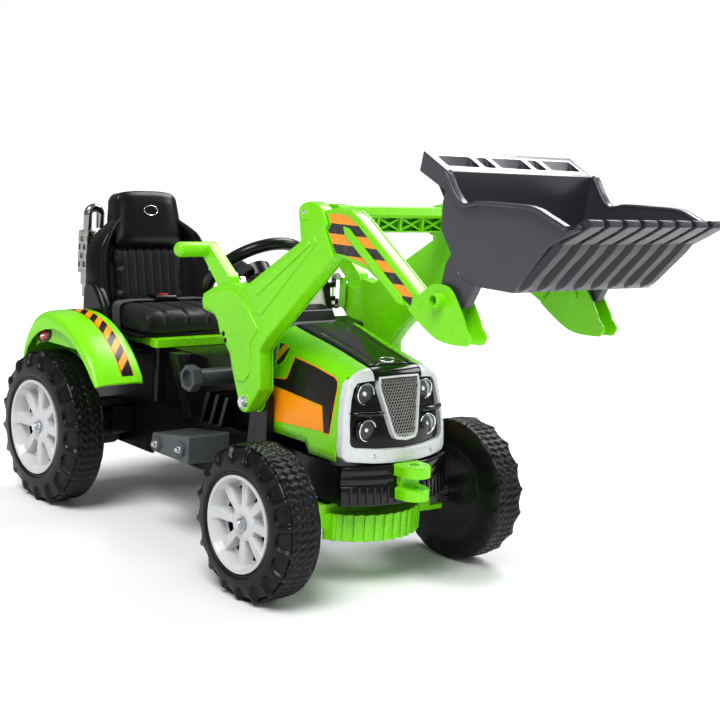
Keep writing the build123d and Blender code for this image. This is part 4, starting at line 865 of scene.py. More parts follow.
def fender_edge(t):
    """Crest line of the arch, from its front end (0) to its rear end (1)."""
    turn = radians(149 - 65 * min(1, t / 0.6))
    first = (REAR_Y + CREST_R * cos(turn), REAR_R + CREST_R * sin(turn))
    if t <= 0.6:
        return first
    s = (t - 0.6) / 0.4
    second, third = (744, 348), (750, 257)
    y = (1 - s) ** 2 * first[0] + 2 * s * (1 - s) * second[0] + s * s * third[0]
    z = (1 - s) ** 2 * first[1] + 2 * s * (1 - s) * second[1] + s * s * third[1]
    return y, z


ARCH_LINE = [(470, 248), (480, 257.5), (494, 272), (514, 290), (538, 307), (562, 321), (595, 331)]
ARCH_LINE += [(625, 333), (658, 328), (684, 319), (708, 303), (727, 281), (738, 259)]


def arch_edge(t):
    """Point on the lower edge of the arch, at even steps of its outline."""
    span = t * (len(ARCH_LINE) - 1)
    i = min(int(span), len(ARCH_LINE) - 2)
    k = span - i
    a, b = ARCH_LINE[i], ARCH_LINE[i + 1]
    return a[0] + (b[0] - a[0]) * k, a[1] + (b[1] - a[1]) * k


def fender_section(reach):
    """Section of the arch all the way round: (distance from the middle, depth below the crest)."""
    ring = [(144, 26), (144, 5), (145.5, 1.5), (149, 0)]
    ring += [(x, 1.5 * smoothstep(200, 216, x)) for x in (160, 175, 190, 205, 216)]
    radius = min(20, reach * 0.55)
    for k in range(1, 9):
        angle = k / 8 * pi / 2
        ring.append((216 + 25.5 * sin(angle), 1.5 + radius * (1 - cos(angle))))
    ring += [(241.8, max(radius + 2, reach - 2)), (240.6, reach), (238.6, reach - 0.5), (238, radius + 2)]
    for k in range(4, -1, -1):
        angle = k / 5 * pi / 2
        ring.append((214 + 23 * sin(angle), 4.5 + (radius - 2) * (1 - cos(angle))))
    return [*ring, (150, 4), (148, 6), (148, 26)]


def fender(flip, side):
    """Arch with its inner wall, the shelf to the seat box, the web behind the lamp and the stickers."""
    samples = 72
    verts = []
    for i in range(samples):
        t = i / (samples - 1)
        cy, cz = fender_edge(t)
        ay, az = arch_edge(t)
        step = Vector((ay - cy, az - cz))
        down = step / step.length
        ring = fender_section(step.length)
        verts += [at(flip * x, cy + down.x * depth, max(cz + down.y * depth, 250)) for x, depth in ring]
    faces = tube_faces(samples, len(ring))
    obj = piece(f"fender_skin_{side}", verts, faces, green, "chassis", angle=38)
    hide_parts(f"fender_{side}")
    # inner side wall and shelf down to the seat box
    wall = [fender_edge(i / 40) for i in range(41)]
    wall = [(y, z - 2) for y, z in wall if z > 262]
    points = [(wall[0][0], 257.5)] + wall + [(wall[-1][0], 257.5)]
    inner = side_slab(f"fender_wall_{side}", points, 143.5, 147, flip, green, "chassis", 0.8, 2)
    ledge = [(520, 296), (520, 304), (730, 304), (730, 296)]
    shelf = side_slab(f"fender_shelf_{side}", ledge, 96, 146, flip, black, "chassis", 1)
    # recessed web that closes the top of the arch and carries the lamp
    web = [arch_edge(i / 36) for i in range(13, 31)]
    web_points = [(560, 304)] + [(y, z + 6) for y, z in web] + [(716, 286), (692, 302)]
    plate = side_slab(f"fender_web_{side}", web_points, 225, 229, flip, green, "chassis", 0.8, 2)
    lamp(flip, side)
    hazard(flip, side)


def lamp(flip, side):
    """Oval tail lamp: dark surround and a stepped red lens."""
    cx, cy, cz = 229.4, 680, 313
    half_long, half_high = 26, 13
    lean = radians(-18)
    rings, steps = 7, 48
    parts = (("surround", 1, 3.4, gloss_black), ("lens", 0.74, 6, tail_lens), ("core", 0.34, 8.4, chrome))
    for name, scale, depth, mat in parts:
        verts = []
        for r in range(rings):
            k = r / (rings - 1)
            fall = cos(k * pi / 2)
            spread = scale * sin(k * pi / 2 + 0.001)
            for turn in turns(steps):
                a = half_long * spread * cos(turn)
                b = half_high * spread * sin(turn)
                y = cy + a * cos(lean) - b * sin(lean)
                z = cz + a * sin(lean) + b * cos(lean)
                verts.append(at(flip * (cx + depth * fall**0.5), y, z))
        obj = piece(f"tail_lamp_{name}_{side}", verts, tube_faces(rings, steps), mat, "chassis")
        if name == "surround" and flip > 0:
            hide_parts("tail_lamps")


def crest_point(t, proud):
    """Point on the fender's crest surface, raised by a little."""
    cy, cz = fender_edge(t)
    ny, nz = fender_edge(min(1, t + 0.01))
    py, pz = fender_edge(max(0, t - 0.01))
    along = Vector((ny - py, nz - pz)).normalized()
    out = Vector((along.y, -along.x))
    if out.y < 0:
        out = -out
    return cy + out.x * proud, cz + out.y * proud


def crest_strip(name, flip, start, stop, x_low, x_high, proud, mat):
    """Thin strip along the fender's crest between two distances from the middle of the toy."""
    rows = 60
    line = [crest_point(start + (stop - start) * r / (rows - 1), proud) for r in range(rows)]
    verts = [at(flip * x, y, z) for y, z in line for x in (x_low, x_high)]
    strip = piece(name, verts, grid_faces(rows, 2), mat, "chassis")


def hazard(flip, side):
    """Warning stripes on the fender's crest: slanted orange and black fields in a thin orange border."""
    start, stop = 0.03, 0.60
    x0, x1 = 162, 186
    crest_strip(f"fender_sticker_{side}", flip, start, stop, x0, x1, 0.3, sticker_black)
    verts, faces = [], []
    fields, cuts = 6, 8
    pitch = (stop - start) / (fields + 0.5)
    slant = pitch * 0.7
    for field in range(fields):
        base = start + pitch * (field + 0.25)
        first = len(verts)
        for i in range(cuts + 1):
            for k in range(7):
                x = x0 + 1 + (x1 - x0 - 2) * k / 6
                t = base + slant * (1 - k / 6) + pitch * 0.5 * i / cuts
                verts.append(at(flip * x, *crest_point(min(stop, t), 0.6)))
        faces += [tuple(first + v for v in f) for f in grid_faces(cuts + 1, 7)]
    bars = piece(f"fender_stripes_{side}", verts, faces, sticker_orange, "chassis")
    for name, xa, xb in (("inner", x0 - 1.2, x0), ("outer", x1, x1 + 1.2)):
        crest_strip(f"fender_border_{name}_{side}", flip, start, stop, xa, xb, 0.45, sticker_orange)


def oval_badge(name, centre, right, up, out, width, height):
    """Plain oval badge: black field in a rounded bright ring."""
    steps, made = 56, []
    ring = ((1, -1.5), (1, 0.8), (0.97, 1.8), (0.9, 2.2), (0.84, 1.7), (0.82, 0.6), (0.82, -1.5))
    field = ((0.84, -1), (0.84, 0.8), (0.6, 1.2), (0.3, 1.4), (0.001, 1.4))
    parts = (("ring", ring, chrome, "chrome"), ("field", field, gloss_black, "gloss_black"))
    for part, profile, mat, slot in parts:
        verts = []
        for share, lift in profile:
            for turn in turns(steps):
                edge = right * (width / 2 - (1 - share) * height / 2) * cos(turn) * MM
                rise = up * (height / 2 * share) * sin(turn) * MM
                verts.append(centre + edge + rise + out * lift * MM)
        faces = grid_faces(len(profile), steps, closed_columns=True)
        obj = piece(f"{name}_{part}", verts, faces, mat, "chassis")
        made.append(obj)
    return made[0]


# ---------------------------------------------------------------- hood and its stickers
# height of the hood's foot, depth of the shoulder below its corner and the curve of the crown
HOOD_FOOT, SHOULDER_DROP = 213.4, 16
CROWN_X, CROWN_Z = 0.42, 0.95
# station, then the four numbers that hood_numbers gives
HOOD_REAR = (134, 112, 98, 392, 407)
HOOD_FRONT = (-46, 112, 95, 346, 364)


def hood_numbers(y):
    """Half width at the foot and at the shoulder, shoulder height and crown height at a station."""
    t = (HOOD_REAR[0] - y) / (HOOD_REAR[0] - HOOD_FRONT[0])
    return [a + (b - a) * t for a, b in zip(HOOD_REAR[1:], HOOD_FRONT[1:])]


def hood_ring(y, low_z):
    """Half section of the hood from its lower edge to the crown."""
    shoulder, crown = hood_numbers(y)[2:]
    side_top = shoulder - SHOULDER_DROP
    heights = [low_z + (side_top - low_z) * k / 8 for k in range(9)]
    ring = [(hood_side_x(y, z), z) for z in heights]
    x_side = ring[-1][0]
    for k in range(1, 24):
        turn = k / 24 * pi / 2
        ring.append((x_side * cos(turn) ** CROWN_X, side_top + (crown - side_top) * sin(turn) ** CROWN_Z))
    return [*ring, (0, crown)]


def hood_low(y):
    """Lower edge of the hood, which steps up behind the front wheels."""
    if y > 31:
        return 232
    if y > 18.6:
        return 217 + 15 * (y - 18.6) / 12.4
    return 217


def thicken(obj, thick_mm, offset=-1):
    """Gives a sheet a wall; an offset of -1 grows it inwards."""
    wall = obj.modifiers.new("wall", "SOLIDIFY")
    wall.thickness = thick_mm * MM
    wall.offset = offset
    return wall


def mirrored_points(points):
    return [(-x, z) for x, z in points]


def hood():
    """Green shell of the hood."""
    stations = [134, 131, 110, 90, 70, 50, 38, 31.1, 30.9]
    stations += [26, 18.7, 18.4, 5, -12, -30, -43.5, -46.2]
    verts = []
    for y in stations:
        half = hood_ring(y, hood_low(y))
        ring = half + mirrored_points(half)[-2::-1]
        verts += [at(x, y, z) for x, z in ring]
    faces = grid_faces(len(stations), len(ring))
    obj = piece("hood_skin", verts, faces, green, "chassis", angle=35)
    thicken(obj, 3).use_even_offset = True
    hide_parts("hood")


def hood_side_x(y, z):
    """Distance of the hood's side from the middle of the toy at a station and height."""
    half_low, half_high, shoulder = hood_numbers(y)[:3]
    share = (z - HOOD_FOOT) / (shoulder - 14 - HOOD_FOOT)
    bow = 1.6 * sin(pi * min(1, max(0, share)))
    return half_low + (half_high - half_low) * share + bow


def side_sticker(name, outline_points, proud, mat, flip):
    """Sticker cut to an outline of (distance behind the axle, height), laid on the hood's side."""
    points = []
    count = len(outline_points)
    for i, (y, z) in enumerate(outline_points):
        y2, z2 = outline_points[(i + 1) % count]
        steps = max(1, int(hypot(y2 - y, z2 - z) / 8))
        points += [(y + (y2 - y) * k / steps, z + (z2 - z) * k / steps) for k in range(steps)]
    bm = bmesh.new()
    verts = [bm.verts.new((0, y, z)) for y, z in points]
    bm.faces.new(verts)
    bmesh.ops.triangulate(bm, faces=bm.faces[:])
    for _ in range(2):
        bmesh.ops.subdivide_edges(bm, edges=[e for e in bm.edges if e.calc_length() > 14], cuts=1)
        bmesh.ops.triangulate(bm, faces=bm.faces[:])
    bm.verts.index_update()
    out = [at(flip * (hood_side_x(v.co.y, v.co.z) + proud), v.co.y, v.co.z) for v in bm.verts]
    faces = [tuple(v.index for v in f.verts) for f in bm.faces]
    bm.free()
    obj = piece(name, out, faces, mat, "chassis")


def grown(points, amount):
    """Outline moved outwards by a distance."""
    out = []
    count = len(points)
    area = sum(a[0] * b[1] - b[0] * a[1] for a, b in zip(points, [*points[1:], points[0]]))
    sign = 1 if area > 0 else -1
    for i in range(count):
        before = Vector(points[i]) - Vector(points[i - 1])
        after = Vector(points[(i + 1) % count]) - Vector(points[i])
        n1 = Vector((before.y, -before.x)).normalized() * sign
        n2 = Vector((after.y, -after.x)).normalized() * sign
        direction = n1 + n2
        if direction.length < 1e-6:
            direction = n1
        direction = direction.normalized() / max(0.5, sqrt((1 + n1.dot(n2)) / 2))
        out.append((points[i][0] + direction.x * amount, points[i][1] + direction.y * amount))
    return out


def hood_stickers():
    """Black window shape in an orange edge, orange band and striped notch on each side of the hood."""
    window = [(84, 361.5), (35, 355), (-14, 345.5), (-22, 340), (-24, 330), (-24, 257)]
    window += [(-11, 256.5), (2, 297.5), (131, 308.5), (131, 319), (101, 322.5), (96, 326)]
    band = [(131, 305.5), (3.5, 294.5), (-8.5, 257.5), (122, 250), (131, 262)]
    notch = [(127, 380), (107, 380), (98.5, 373), (110, 352), (120, 343), (129, 344)]
    for side, flip in SIDES:
        side_sticker(f"hood_window_edge_{side}", grown(window, 2.2), 0.35, sticker_orange, flip)
        side_sticker(f"hood_window_{side}", window, 0.6, sticker_black, flip)
        side_sticker(f"hood_band_{side}", band, 0.5, sticker_orange, flip)
        side_sticker(f"hood_notch_{side}", notch, 0.5, notch_mat, flip)
        # pressed louvre frame in the notch, a plain raised ring
        verts = []
        for growth, proud in ((2, 0.3), (1, 1.6), (-0.4, 1.6), (-0.8, 0.3)):
            verts += [at(flip * (hood_side_x(y, z) + proud), y, z) for y, z in grown(notch, growth)]
        faces = grid_faces(4, len(notch), closed_columns=True)
        notch_rim = piece(f"hood_notch_rim_{side}", verts, faces, green, "chassis")


def boom_stickers():
    """Level black and orange bands on the outer face of each boom, cut round the raised rib."""
    shape = [(-48.5, 607), (-66, 609), (-91, 608), (-112, 598), (-243, 508), (-240, 494)]
    shape += [(-141, 540), (-91, 549.5), (-69.5, 550), (-48, 583), (-55, 591.5)]
    for side, flip in SIDES:
        obj = side_slab(f"boom_sticker_{side}", shape, 155.05, 155.6, flip, boom_mat, "loader")


def badge_pair():
    """Plain badges on the headrest and on the nose."""
    centre = seat_point(0, 206, 17.2)
    up = (seat_point(0, 1, 0) - seat_point(0, 0, 0)).normalized()
    out = (seat_point(0, 0, 1) - seat_point(0, 0, 0)).normalized()
    first = oval_badge("headrest_badge", centre, Vector((1, 0, 0)), up, out, 33, 21)
    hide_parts("badges")
    slope = atan2(hood_top(0, -20) - hood_top(0, -40), 20)
    up = Vector((0, cos(slope), sin(slope)))
    out = Vector((0, -sin(slope), cos(slope)))
    oval_badge("nose_badge", at(0, -30, hood_top(0, -30) + 2.6), Vector((1, 0, 0)), up, out, 32, 19)


# distance from the middle, height and face of the upper and the lower headlamp
HEADLAMPS = ((63.3, 323.5, -54), (65.5, 267, -66))
LAMP_RING = [(18.4, 4), (18.5, -1), (17.6, -2.6), (16.4, -2.8), (15.4, -1.6), (15, 1), (14.8, 4)]
LAMP_BOWL = [(15.2, 0.5), (14.6, 2.2), (12.6, 4.4), (10, 7.4), (7.4, 9.4), (5.2, 10.4)]
LAMP_BULB = [(5, 8), (4.4, 1.6), (3, -0.4), (0.01, -1)]
LAMP_LENS = [(15.4, 0), (14, -1.6), (11, -2.9), (7, -3.8), (3, -4.2), (0.01, -4.3)]


def facing_rings(profile, x, y, z, steps, flute=0):
    """Points round an axis along the toy from a profile of (radius, distance back), fluted if asked."""
    verts = []
    for r, back in profile:
        for turn in turns(steps):
            reach = r * (1 + (flute * cos(turn * 12) if 5.1 < r < 14 else 0))
            verts.append(at(x + reach * cos(turn), y + back, z + reach * sin(turn)))
    return verts


def headlamp_set():
    """Chromed rings, faceted reflector bowls with their bulbs and clear lenses of the four lamps."""
    parts = (
        ("ring", chrome, LAMP_RING, 0),
        ("bowl", reflector, LAMP_BOWL + LAMP_BULB, 0.07),
        ("lens", lens_clear, LAMP_LENS, 0),
    )
    steps = 48
    first = True
    for x, z, y_face in HEADLAMPS:
        for side, flip in SIDES:
            for name, mat, profile, flute in parts:
                verts = facing_rings(profile, flip * x, y_face, z, steps, flute)
                faces = grid_faces(len(profile), steps, closed_columns=True)
                obj = piece(f"headlamp_{name}_{side}_{int(z)}", verts, faces, mat, "chassis")
                if first:
                    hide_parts("headlamps")
                    first = False


# ---------------------------------------------------------------- shared builders
def turned(name, y, z, profile, mat, body, steps=48, flip=1):
    """Solid turned round an axis along x; the profile of (x, radius) starts and ends on the axis."""
    verts = []
    for x, r in profile:
        r = max(r, 0.01)
        verts += [at(flip * x, y + r * cos(turn), z + r * sin(turn)) for turn in turns(steps)]
    return piece(name, verts, grid_faces(len(profile), steps, closed_columns=True), mat, body)


def hex_bolt(name, y, z, x, across, body, flip):
    """Washer, hexagon nut and thread end on an outer face at x."""
    profile = [(x, 0), (x, across * 0.78), (x + 0.8, across * 0.8), (x + 1.4, across * 0.76), (x + 1.4, 0)]
    washer = turned(name + "_washer", y, z, profile, steel, body, 40, flip)
    verts = []
    for depth, share in ((1.2, 1), (5, 1), (5.9, 0.9), (5.9, 0.42), (8.2, 0.4), (8.6, 0.3)):
        for turn in turns(24):
            corner = 1 / max(0.5, cos((turn + pi / 6) % (pi / 3) - pi / 6))
            r = across * 0.5 * share * (corner if share > 0.8 else 1)
            verts.append(at(flip * (x + depth), y + r * cos(turn), z + r * sin(turn)))
    nut = piece(name + "_nut", verts, tube_faces(6, 24), steel, body, angle=25)


def cut(obj, cutters):
    """Subtracts closed pieces from a closed piece and removes them."""
    apply_modifiers(obj)
    for cutter in cutters:
        mod = obj.modifiers.new("cut", "BOOLEAN")
        mod.operation = "DIFFERENCE"
        mod.solver = "EXACT"
        mod.object = cutter
    apply_modifiers(obj)
    for cutter in cutters:
        bpy.data.objects.remove(cutter)
    for edge in obj.data.edges:
        edge.use_edge_sharp = False
    bm = bmesh.new()
    bm.from_mesh(obj.data)
    edge_angles(bm, 32)
    bm.to_mesh(obj.data)
    bm.free()


def prism(corners, low, high, place):
    """Closed cutter from flat corners; place(corner, depth) gives a row-frame point."""
    mesh = bpy.data.meshes.new("cutter")
    verts = [tuple(place(c, depth)) for depth in (low, high) for c in corners]
    mesh.from_pydata(verts, [], prism_faces(len(corners)))
    bm = bmesh.new()
    bm.from_mesh(mesh)
    bmesh.ops.recalc_face_normals(bm, faces=bm.faces)
    bm.to_mesh(mesh)
    bm.free()
    return link(bpy.data.objects.new("cutter", mesh))


def rounded_box(width, height, radius, cx=0, cy=0, steps=5):
    """Outline of a rectangle with rounded corners."""
    points = []
    for k, (sx, sy) in enumerate(((1, 1), (-1, 1), (-1, -1), (1, -1))):
        corner_x, corner_y = cx + sx * (width / 2 - radius), cy + sy * (height / 2 - radius)
        for i in range(steps + 1):
            turn = pi / 2 * (k + i / steps)
            points.append((corner_x + radius * cos(turn), corner_y + radius * sin(turn)))
    return points


# ---------------------------------------------------------------- bucket
# outlines in (distance behind the front axle, height): lip, floor, back and shelf, then the inside
OUTSIDE_LINE = [
    (-531, 629), (-493, 610), (-480, 601), (-424, 535.4), (-348, 535.4), (-323, 546), (-306, 574),
    (-284, 606), (-286, 645), (-291, 660), (-238, 684), (-245, 712), (-294, 687),
]
HOLLOW_LINE = [
    (-294.5, 686), (-290, 646), (-288, 607), (-309.5, 576), (-326, 549.5), (-349, 539.4), (-422, 539.4),
    (-477.5, 604.5), (-491, 614), (-516, 627),
]
MOUTH_LINE = [(-298, 690), (-314, 660), (-332, 642), (-364, 649), (-460, 650), (-515, 628)]
RIM_LINE = [
    (-297, 685.5), (-303, 678.5), (-315, 661), (-331, 645.5), (-345, 645.5), (-364, 649.5),
    (-410, 650.6), (-458, 650.6), (-485, 642), (-515, 630.5),
]
EAR_LINE = [
    (-284.5, 508), (-291, 499), (-301, 495.5), (-312, 497), (-339, 503), (-356, 537), (-324, 547.5),
    (-305, 576), (-296, 560),
]
TOOTH_LINE = [
    (-496, 606), (-521, 620), (-544, 634.5), (-541, 642.5), (-534, 643), (-512, 631.5), (-498, 620),
]
RIBS, RIB_PITCH, TOOTH_HALF = 8, 37, 13.5
LIP_LINE = [(-490, 609), (-529, 629), (-531, 633), (-527, 634.5), (-490, 616)]


def bucket_half(z):
    """Half width of the bucket, which leans outwards a little with height."""
    return 146 + 0.055 * (z - 530)


def drafted(name, points, inset, thick, flip, width):
    """Plate along the leaning side of the bucket, or right across it where thick is None."""
    verts = [at(flip * (bucket_half(z) - inset), y, z) for y, z in points]
    if thick is None:
        verts += [at(-flip * (bucket_half(z) - inset), y, z) for y, z in points]
    else:
        verts += [at(flip * (bucket_half(z) - thick), y, z) for y, z in points]
    obj = piece(name, verts, prism_faces(len(points)), bucket_grey, "bucket_body", angle=50)
    bevel(obj, width, 3, 20)
    return obj


def bucket_shell():
    """Floor, back and shelf; the shelf has five windows: wide, narrow, wide, narrow, wide."""
    shell = drafted("bucket_shell", OUTSIDE_LINE + HOLLOW_LINE, 2, None, 1, 1.6)
    apply_modifiers(shell)
    # slope and middle of the shelf's upper face
    lean = atan2(25, 49)
    middle_y, middle_z = -268.5, 699.6

    def place(corner, depth):
        x, along = corner
        y = middle_y + along * cos(lean) + depth * sin(lean)
        return at(x, y, middle_z + along * sin(lean) + depth * cos(lean))

    cutters = []
    for x, width in ((-108, 64), (-54, 22), (0, 64), (54, 22), (108, 64)):
        window = rounded_box(width, 28, 5, x)
        cutters.append(prism(window, -14, 6, place))
        # black pane under each window: painted shade seen through the cut
        verts = [place(c, depth) for depth in (-15, -13.2) for c in window]
        faces = prism_faces(len(window))
        shade_pane = piece(f"bucket_window_shade_{len(cutters)}", verts, faces, black, "bucket_body", angle=40)
    cut(shell, cutters)
    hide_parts("bucket")
    return shell


def bucket_rim(side, flip):
    """Rolled rim: rounded section swept along the side edge of the mouth."""
    path = smooth_line(RIM_LINE, 4)
    verts, section = [], rounded_box(15, 7, 3, 4.5, -1, 4)
    for i, (y, z) in enumerate(path):
        a, b = path[max(0, i - 1)], path[min(len(path) - 1, i + 1)]
        along = Vector((b[0] - a[0], b[1] - a[1])).normalized()
        up = Vector((along.y, -along.x))
        # upright where the edge is level, forwards where it is steep
        if (up.x > 0) if abs(up.y) <= 0.2 else (up.y < 0):
            up = -up
        for across, height in section:
            x = bucket_half(z) - 2 + across
            verts.append(at(flip * x, y + up.x * height, z + up.y * height))
    faces = tube_faces(len(path), len(section))
    return piece(f"bucket_rim_{side}", verts, faces, bucket_grey, "bucket_body", angle=40)


def bucket_rib(rib, x_mid):
    """Rib on the slanting underside with a flat crest and sloping flanks."""
    base, tip = Vector((-422, 535.6)), Vector((-494, 612))
    run = tip - base
    out = Vector((-run.y, run.x)).normalized()
    verts, stations = [], 14
    for i in range(stations):
        s = i / (stations - 1)
        spot = base + run * s
        height = 8 * smoothstep(-0.05, 0.2, s) * (1 - 0.25 * smoothstep(0.85, 1, s))
        foot, crest = 13 + 2.5 * s, 5.5 + 4 * s
        half = ((foot, -1.5), (foot, 0.2), (crest, height))
        for x, h in [(-x, h) for x, h in half] + list(reversed(half)):
            verts.append(at(x_mid + x, spot.x + out.x * h, spot.y + out.y * h))
    obj = piece(f"bucket_rib_{rib}", verts, tube_faces(stations, 6), bucket_shaded, "bucket_body", angle=25)
    return bevel(obj, 1.2, 2, 25)


def bucket():
    """Shell, sides, rolled rims, ears, ribs, teeth and the folded lip between the teeth."""
    made = [bucket_shell()]
    for side, flip in SIDES:
        made.append(drafted(f"bucket_side_{side}", OUTSIDE_LINE + MOUTH_LINE, 0, 4.5, flip, 1.4))
        made.append(bucket_rim(side, flip))
        ear = side_slab(f"bucket_ear_{side}", EAR_LINE, 132, 148, flip, bucket_grey, "bucket_body", 2)
        made.append(ear)
    for rib in range(RIBS):
        x_mid = (rib - (RIBS - 1) / 2) * RIB_PITCH
        made.append(bucket_rib(rib, x_mid))
        low, high = x_mid - TOOTH_HALF, x_mid + TOOTH_HALF
        made.append(slab(f"bucket_tooth_{rib}", TOOTH_LINE, low, high, bucket_shaded, "bucket_body", 1.8))
    made.append(slab("bucket_lip", LIP_LINE, -148, 148, bucket_grey, "bucket_body", 1))


# ---------------------------------------------------------------- nose
NOSE_LEVELS = ((214, 113, -90, -62), (262, 112, -84, -58), (346, 99, -62, -46.6))


def nose_level(z):
    """Half width, front and corner of the nose at a height."""
    low, middle_row, high = NOSE_LEVELS
    a, b = (low, middle_row) if z <= middle_row[0] else (middle_row, high)
    t = (z - a[0]) / (b[0] - a[0])
    return [p + (q - p) * t for p, q in zip(a[1:], b[1:])]


def nose_y(x, z):
    """Front surface of the bowed nose at x and height."""
    half, front, corner = nose_level(z)
    bow = corner - front
    radius = (half * half + bow * bow) / (2 * bow)
    reach = min(abs(x), half)
    return front + radius - sqrt(max(0, radius * radius - reach * reach))


def resample(points, count):
    """Points at even spacing along an open line."""
    lengths = [0]
    for a, b in zip(points, points[1:]):
        lengths.append(lengths[-1] + hypot(b[0] - a[0], b[1] - a[1]))
    out, i = [], 0
    for k in range(count):
        want = lengths[-1] * k / (count - 1)
        while i < len(points) - 2 and lengths[i + 1] < want:
            i += 1
        t = (want - lengths[i]) / max(1e-9, lengths[i + 1] - lengths[i])
        (x, z), (x_next, z_next) = points[i], points[i + 1]
        out.append((x + (x_next - x) * t, z + (z_next - z) * t))
    return out


def nose_band(name, outer, inner, proud, depth, mat, closed=False, count=160):
    """Raised band on the nose between two lines of (x, height) that run side by side."""
    if closed:
        outer, inner = [*outer, outer[0]], [*inner, inner[0]]
    outer, inner = resample(outer, count), resample(inner, count)
    if closed:
        outer, inner = outer[:-1], inner[:-1]
    verts = []
    across = [(0, depth), (0, 1.4), (0.03, 0.5), (0.12, 0), (0.5, -0.3)]
    across += [(0.88, 0), (0.97, 0.5), (1, 1.4), (1, depth)]
    for (x1, z1), (x2, z2) in zip(outer, inner):
        for t, sink in across:
            x, z = x1 + (x2 - x1) * t, z1 + (z2 - z1) * t
            verts.append(at(x, nose_y(x, z) - proud + sink, z))
    rows = len(outer)
    if closed:
        faces = grid_faces(rows, len(across), closed_rows=True, closed_columns=True)
    else:
        faces = tube_faces(rows, len(across))
    obj = piece(name, verts, faces, mat, "chassis", angle=50)
    return obj


def grille_mesh():
    """Bowed plate of the grille: rows of round holes packed like a honeycomb."""
    pitch, depth = 5.4, 2.6
    outer_r, hole_r = pitch / sqrt(3), 1.95
    outline = ((254, 17), (264.5, 24.5), (334, 41.5), (350, 40))
    sixth = pi / 6
    # hexagon, rounded edge of the hole, hole and its back: radius, straight-sided or not, depth
    rings = ((outer_r, True, 0), (hole_r * 1.12, False, 0), (hole_r, False, 0.5), (hole_r, False, depth))
    verts, faces = [], []
    row, z = 0, 257.5
    while z < 349:
        half = interpolate(outline, z)
        spots = [(column + 0.5 * (row % 2)) * pitch for column in range(-10, 11)]
        for x in [spot for spot in spots if abs(spot) <= half]:
            first = len(verts)
            for r, straight, sink in rings:
                for k in range(12):
                    turn = sixth * k + sixth
                    swing = turn % (pi / 3) - sixth
                    reach = r * (cos(sixth) / cos(swing) if straight else 1)
                    px, pz = x + reach * sin(turn), z + reach * cos(turn)
                    verts.append(at(px, nose_y(px, pz) - 0.5 + sink, pz))
            faces += [tuple(first + v for v in f) for f in grid_faces(4, 12, closed_columns=True)]
        row += 1
        z += pitch * sqrt(3) / 2
    obj = piece("grille_mesh", verts, faces, grille_chrome, "chassis", angle=50)
    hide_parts("grille")


def both_halves(points):
    """Outline that runs on from the middle to the mirrored side."""
    return points + mirrored_points(points)[-2::-1]


def fascia():
    """Grey frame round the lamps and the surround of the grille."""
    outer = [(50, 357), (72, 355), (88, 350), (97, 341), (103, 318), (109, 280)]
    outer += [(112, 240), (111, 227), (104, 220), (60, 216.5), (0, 215)]
    window = [(50, 347), (68, 346), (80, 342), (87, 334), (93, 314), (98, 280)]
    window += [(99.5, 252), (97, 245), (90, 241), (50, 238), (0, 237)]
    outer, window = both_halves(outer), both_halves(window)
    first = nose_band("fascia_frame", outer, window, 1.6, 13, fascia_grey, count=320)
    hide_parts("fascia")
    ring_out = [(0, 352), (43, 351), (45, 334), (27, 262), (21, 253), (0, 250)]
    ring_in = [(0, 348.6), (39.4, 347.6), (41, 334), (23.4, 264.5), (18, 257.5), (0, 255)]
    ring_out, ring_in = both_halves(ring_out)[:-1], both_halves(ring_in)[:-1]
    nose_band("grille_surround", ring_out, ring_in, 4, 11, fascia_grey, True, 201)


def lamp_housing():
    """Dark bowed plate behind the lamps and the grille."""
    rows, columns, verts = 30, 41, []
    for r in range(rows):
        z = 230 + 120 * r / (rows - 1)
        for c in range(columns):
            x = (2 * c / (columns - 1) - 1) * (nose_level(z)[0] - 8)
            verts.append(at(x, nose_y(x, z) + 9, z))
    backing = piece("lamp_housing", verts, grid_faces(rows, columns), gloss_black, "chassis", angle=60)
    thicken(backing, 2, 0)
    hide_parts("headlamp_bezels")


def lamp_cups(side, flip):
    """Round cups that hold the two lamps of one side."""
    profile = [(18.4, 14), (22.4, 14), (22.6, 1), (21.6, -1.2), (19.8, -1.8), (18.7, -0.4)]
    for x, z, y_face in HEADLAMPS:
        verts = facing_rings(profile, flip * x, y_face, z, 56)
        faces = grid_faces(len(profile), 56, closed_columns=True, closed_rows=True)
        cup = piece(f"lamp_cup_{side}_{int(z)}", verts, faces, gloss_black, "chassis", angle=50)


def lamp_bar(side, flip):
    """Level bar between the two lamps of one side, thinner at its ends."""
    stations, steps, verts = 25, 14, []
    for i in range(stations):
        t = i / (stations - 1)
        x = 40 + 58 * t
        y = nose_y(x, 295) - 3.5 - 6 * sin(pi * t) ** 0.6
        size = 4.2 * min(1, 0.35 + 3 * t, 0.35 + 6 * (1 - t))
        verts += [at(flip * x, y + size * 1.3 * cos(turn), 296 + size * sin(turn)) for turn in turns(steps)]
    bar = piece(f"lamp_bar_{side}", verts, tube_faces(stations, steps), gloss_black, "chassis", angle=60)


def fascia_screw(side, flip):
    """Small screw on the lower band of the fascia."""
    screw_x, screw_z = flip * 62, 227
    verts, rings = [], ((4.4, 1.2), (4.2, -0.6), (2.6, -1.2), (1.4, -0.4), (0.1, -0.4))
    for r, back in rings:
        for turn in turns(24):
            x, z = screw_x + r * cos(turn), screw_z + r * sin(turn)
            verts.append(at(x, nose_y(x, z) - 1.6 + back, z))
    screw = piece(f"fascia_screw_{side}", verts, grid_faces(5, 24, closed_columns=True), steel, "chassis")


def nose():
    """Everything on the face of the toy above the bumper."""
    fascia()
    grille_mesh()
    lamp_housing()
    for side, flip in SIDES:
        lamp_cups(side, flip)
        lamp_bar(side, flip)
        fascia_screw(side, flip)


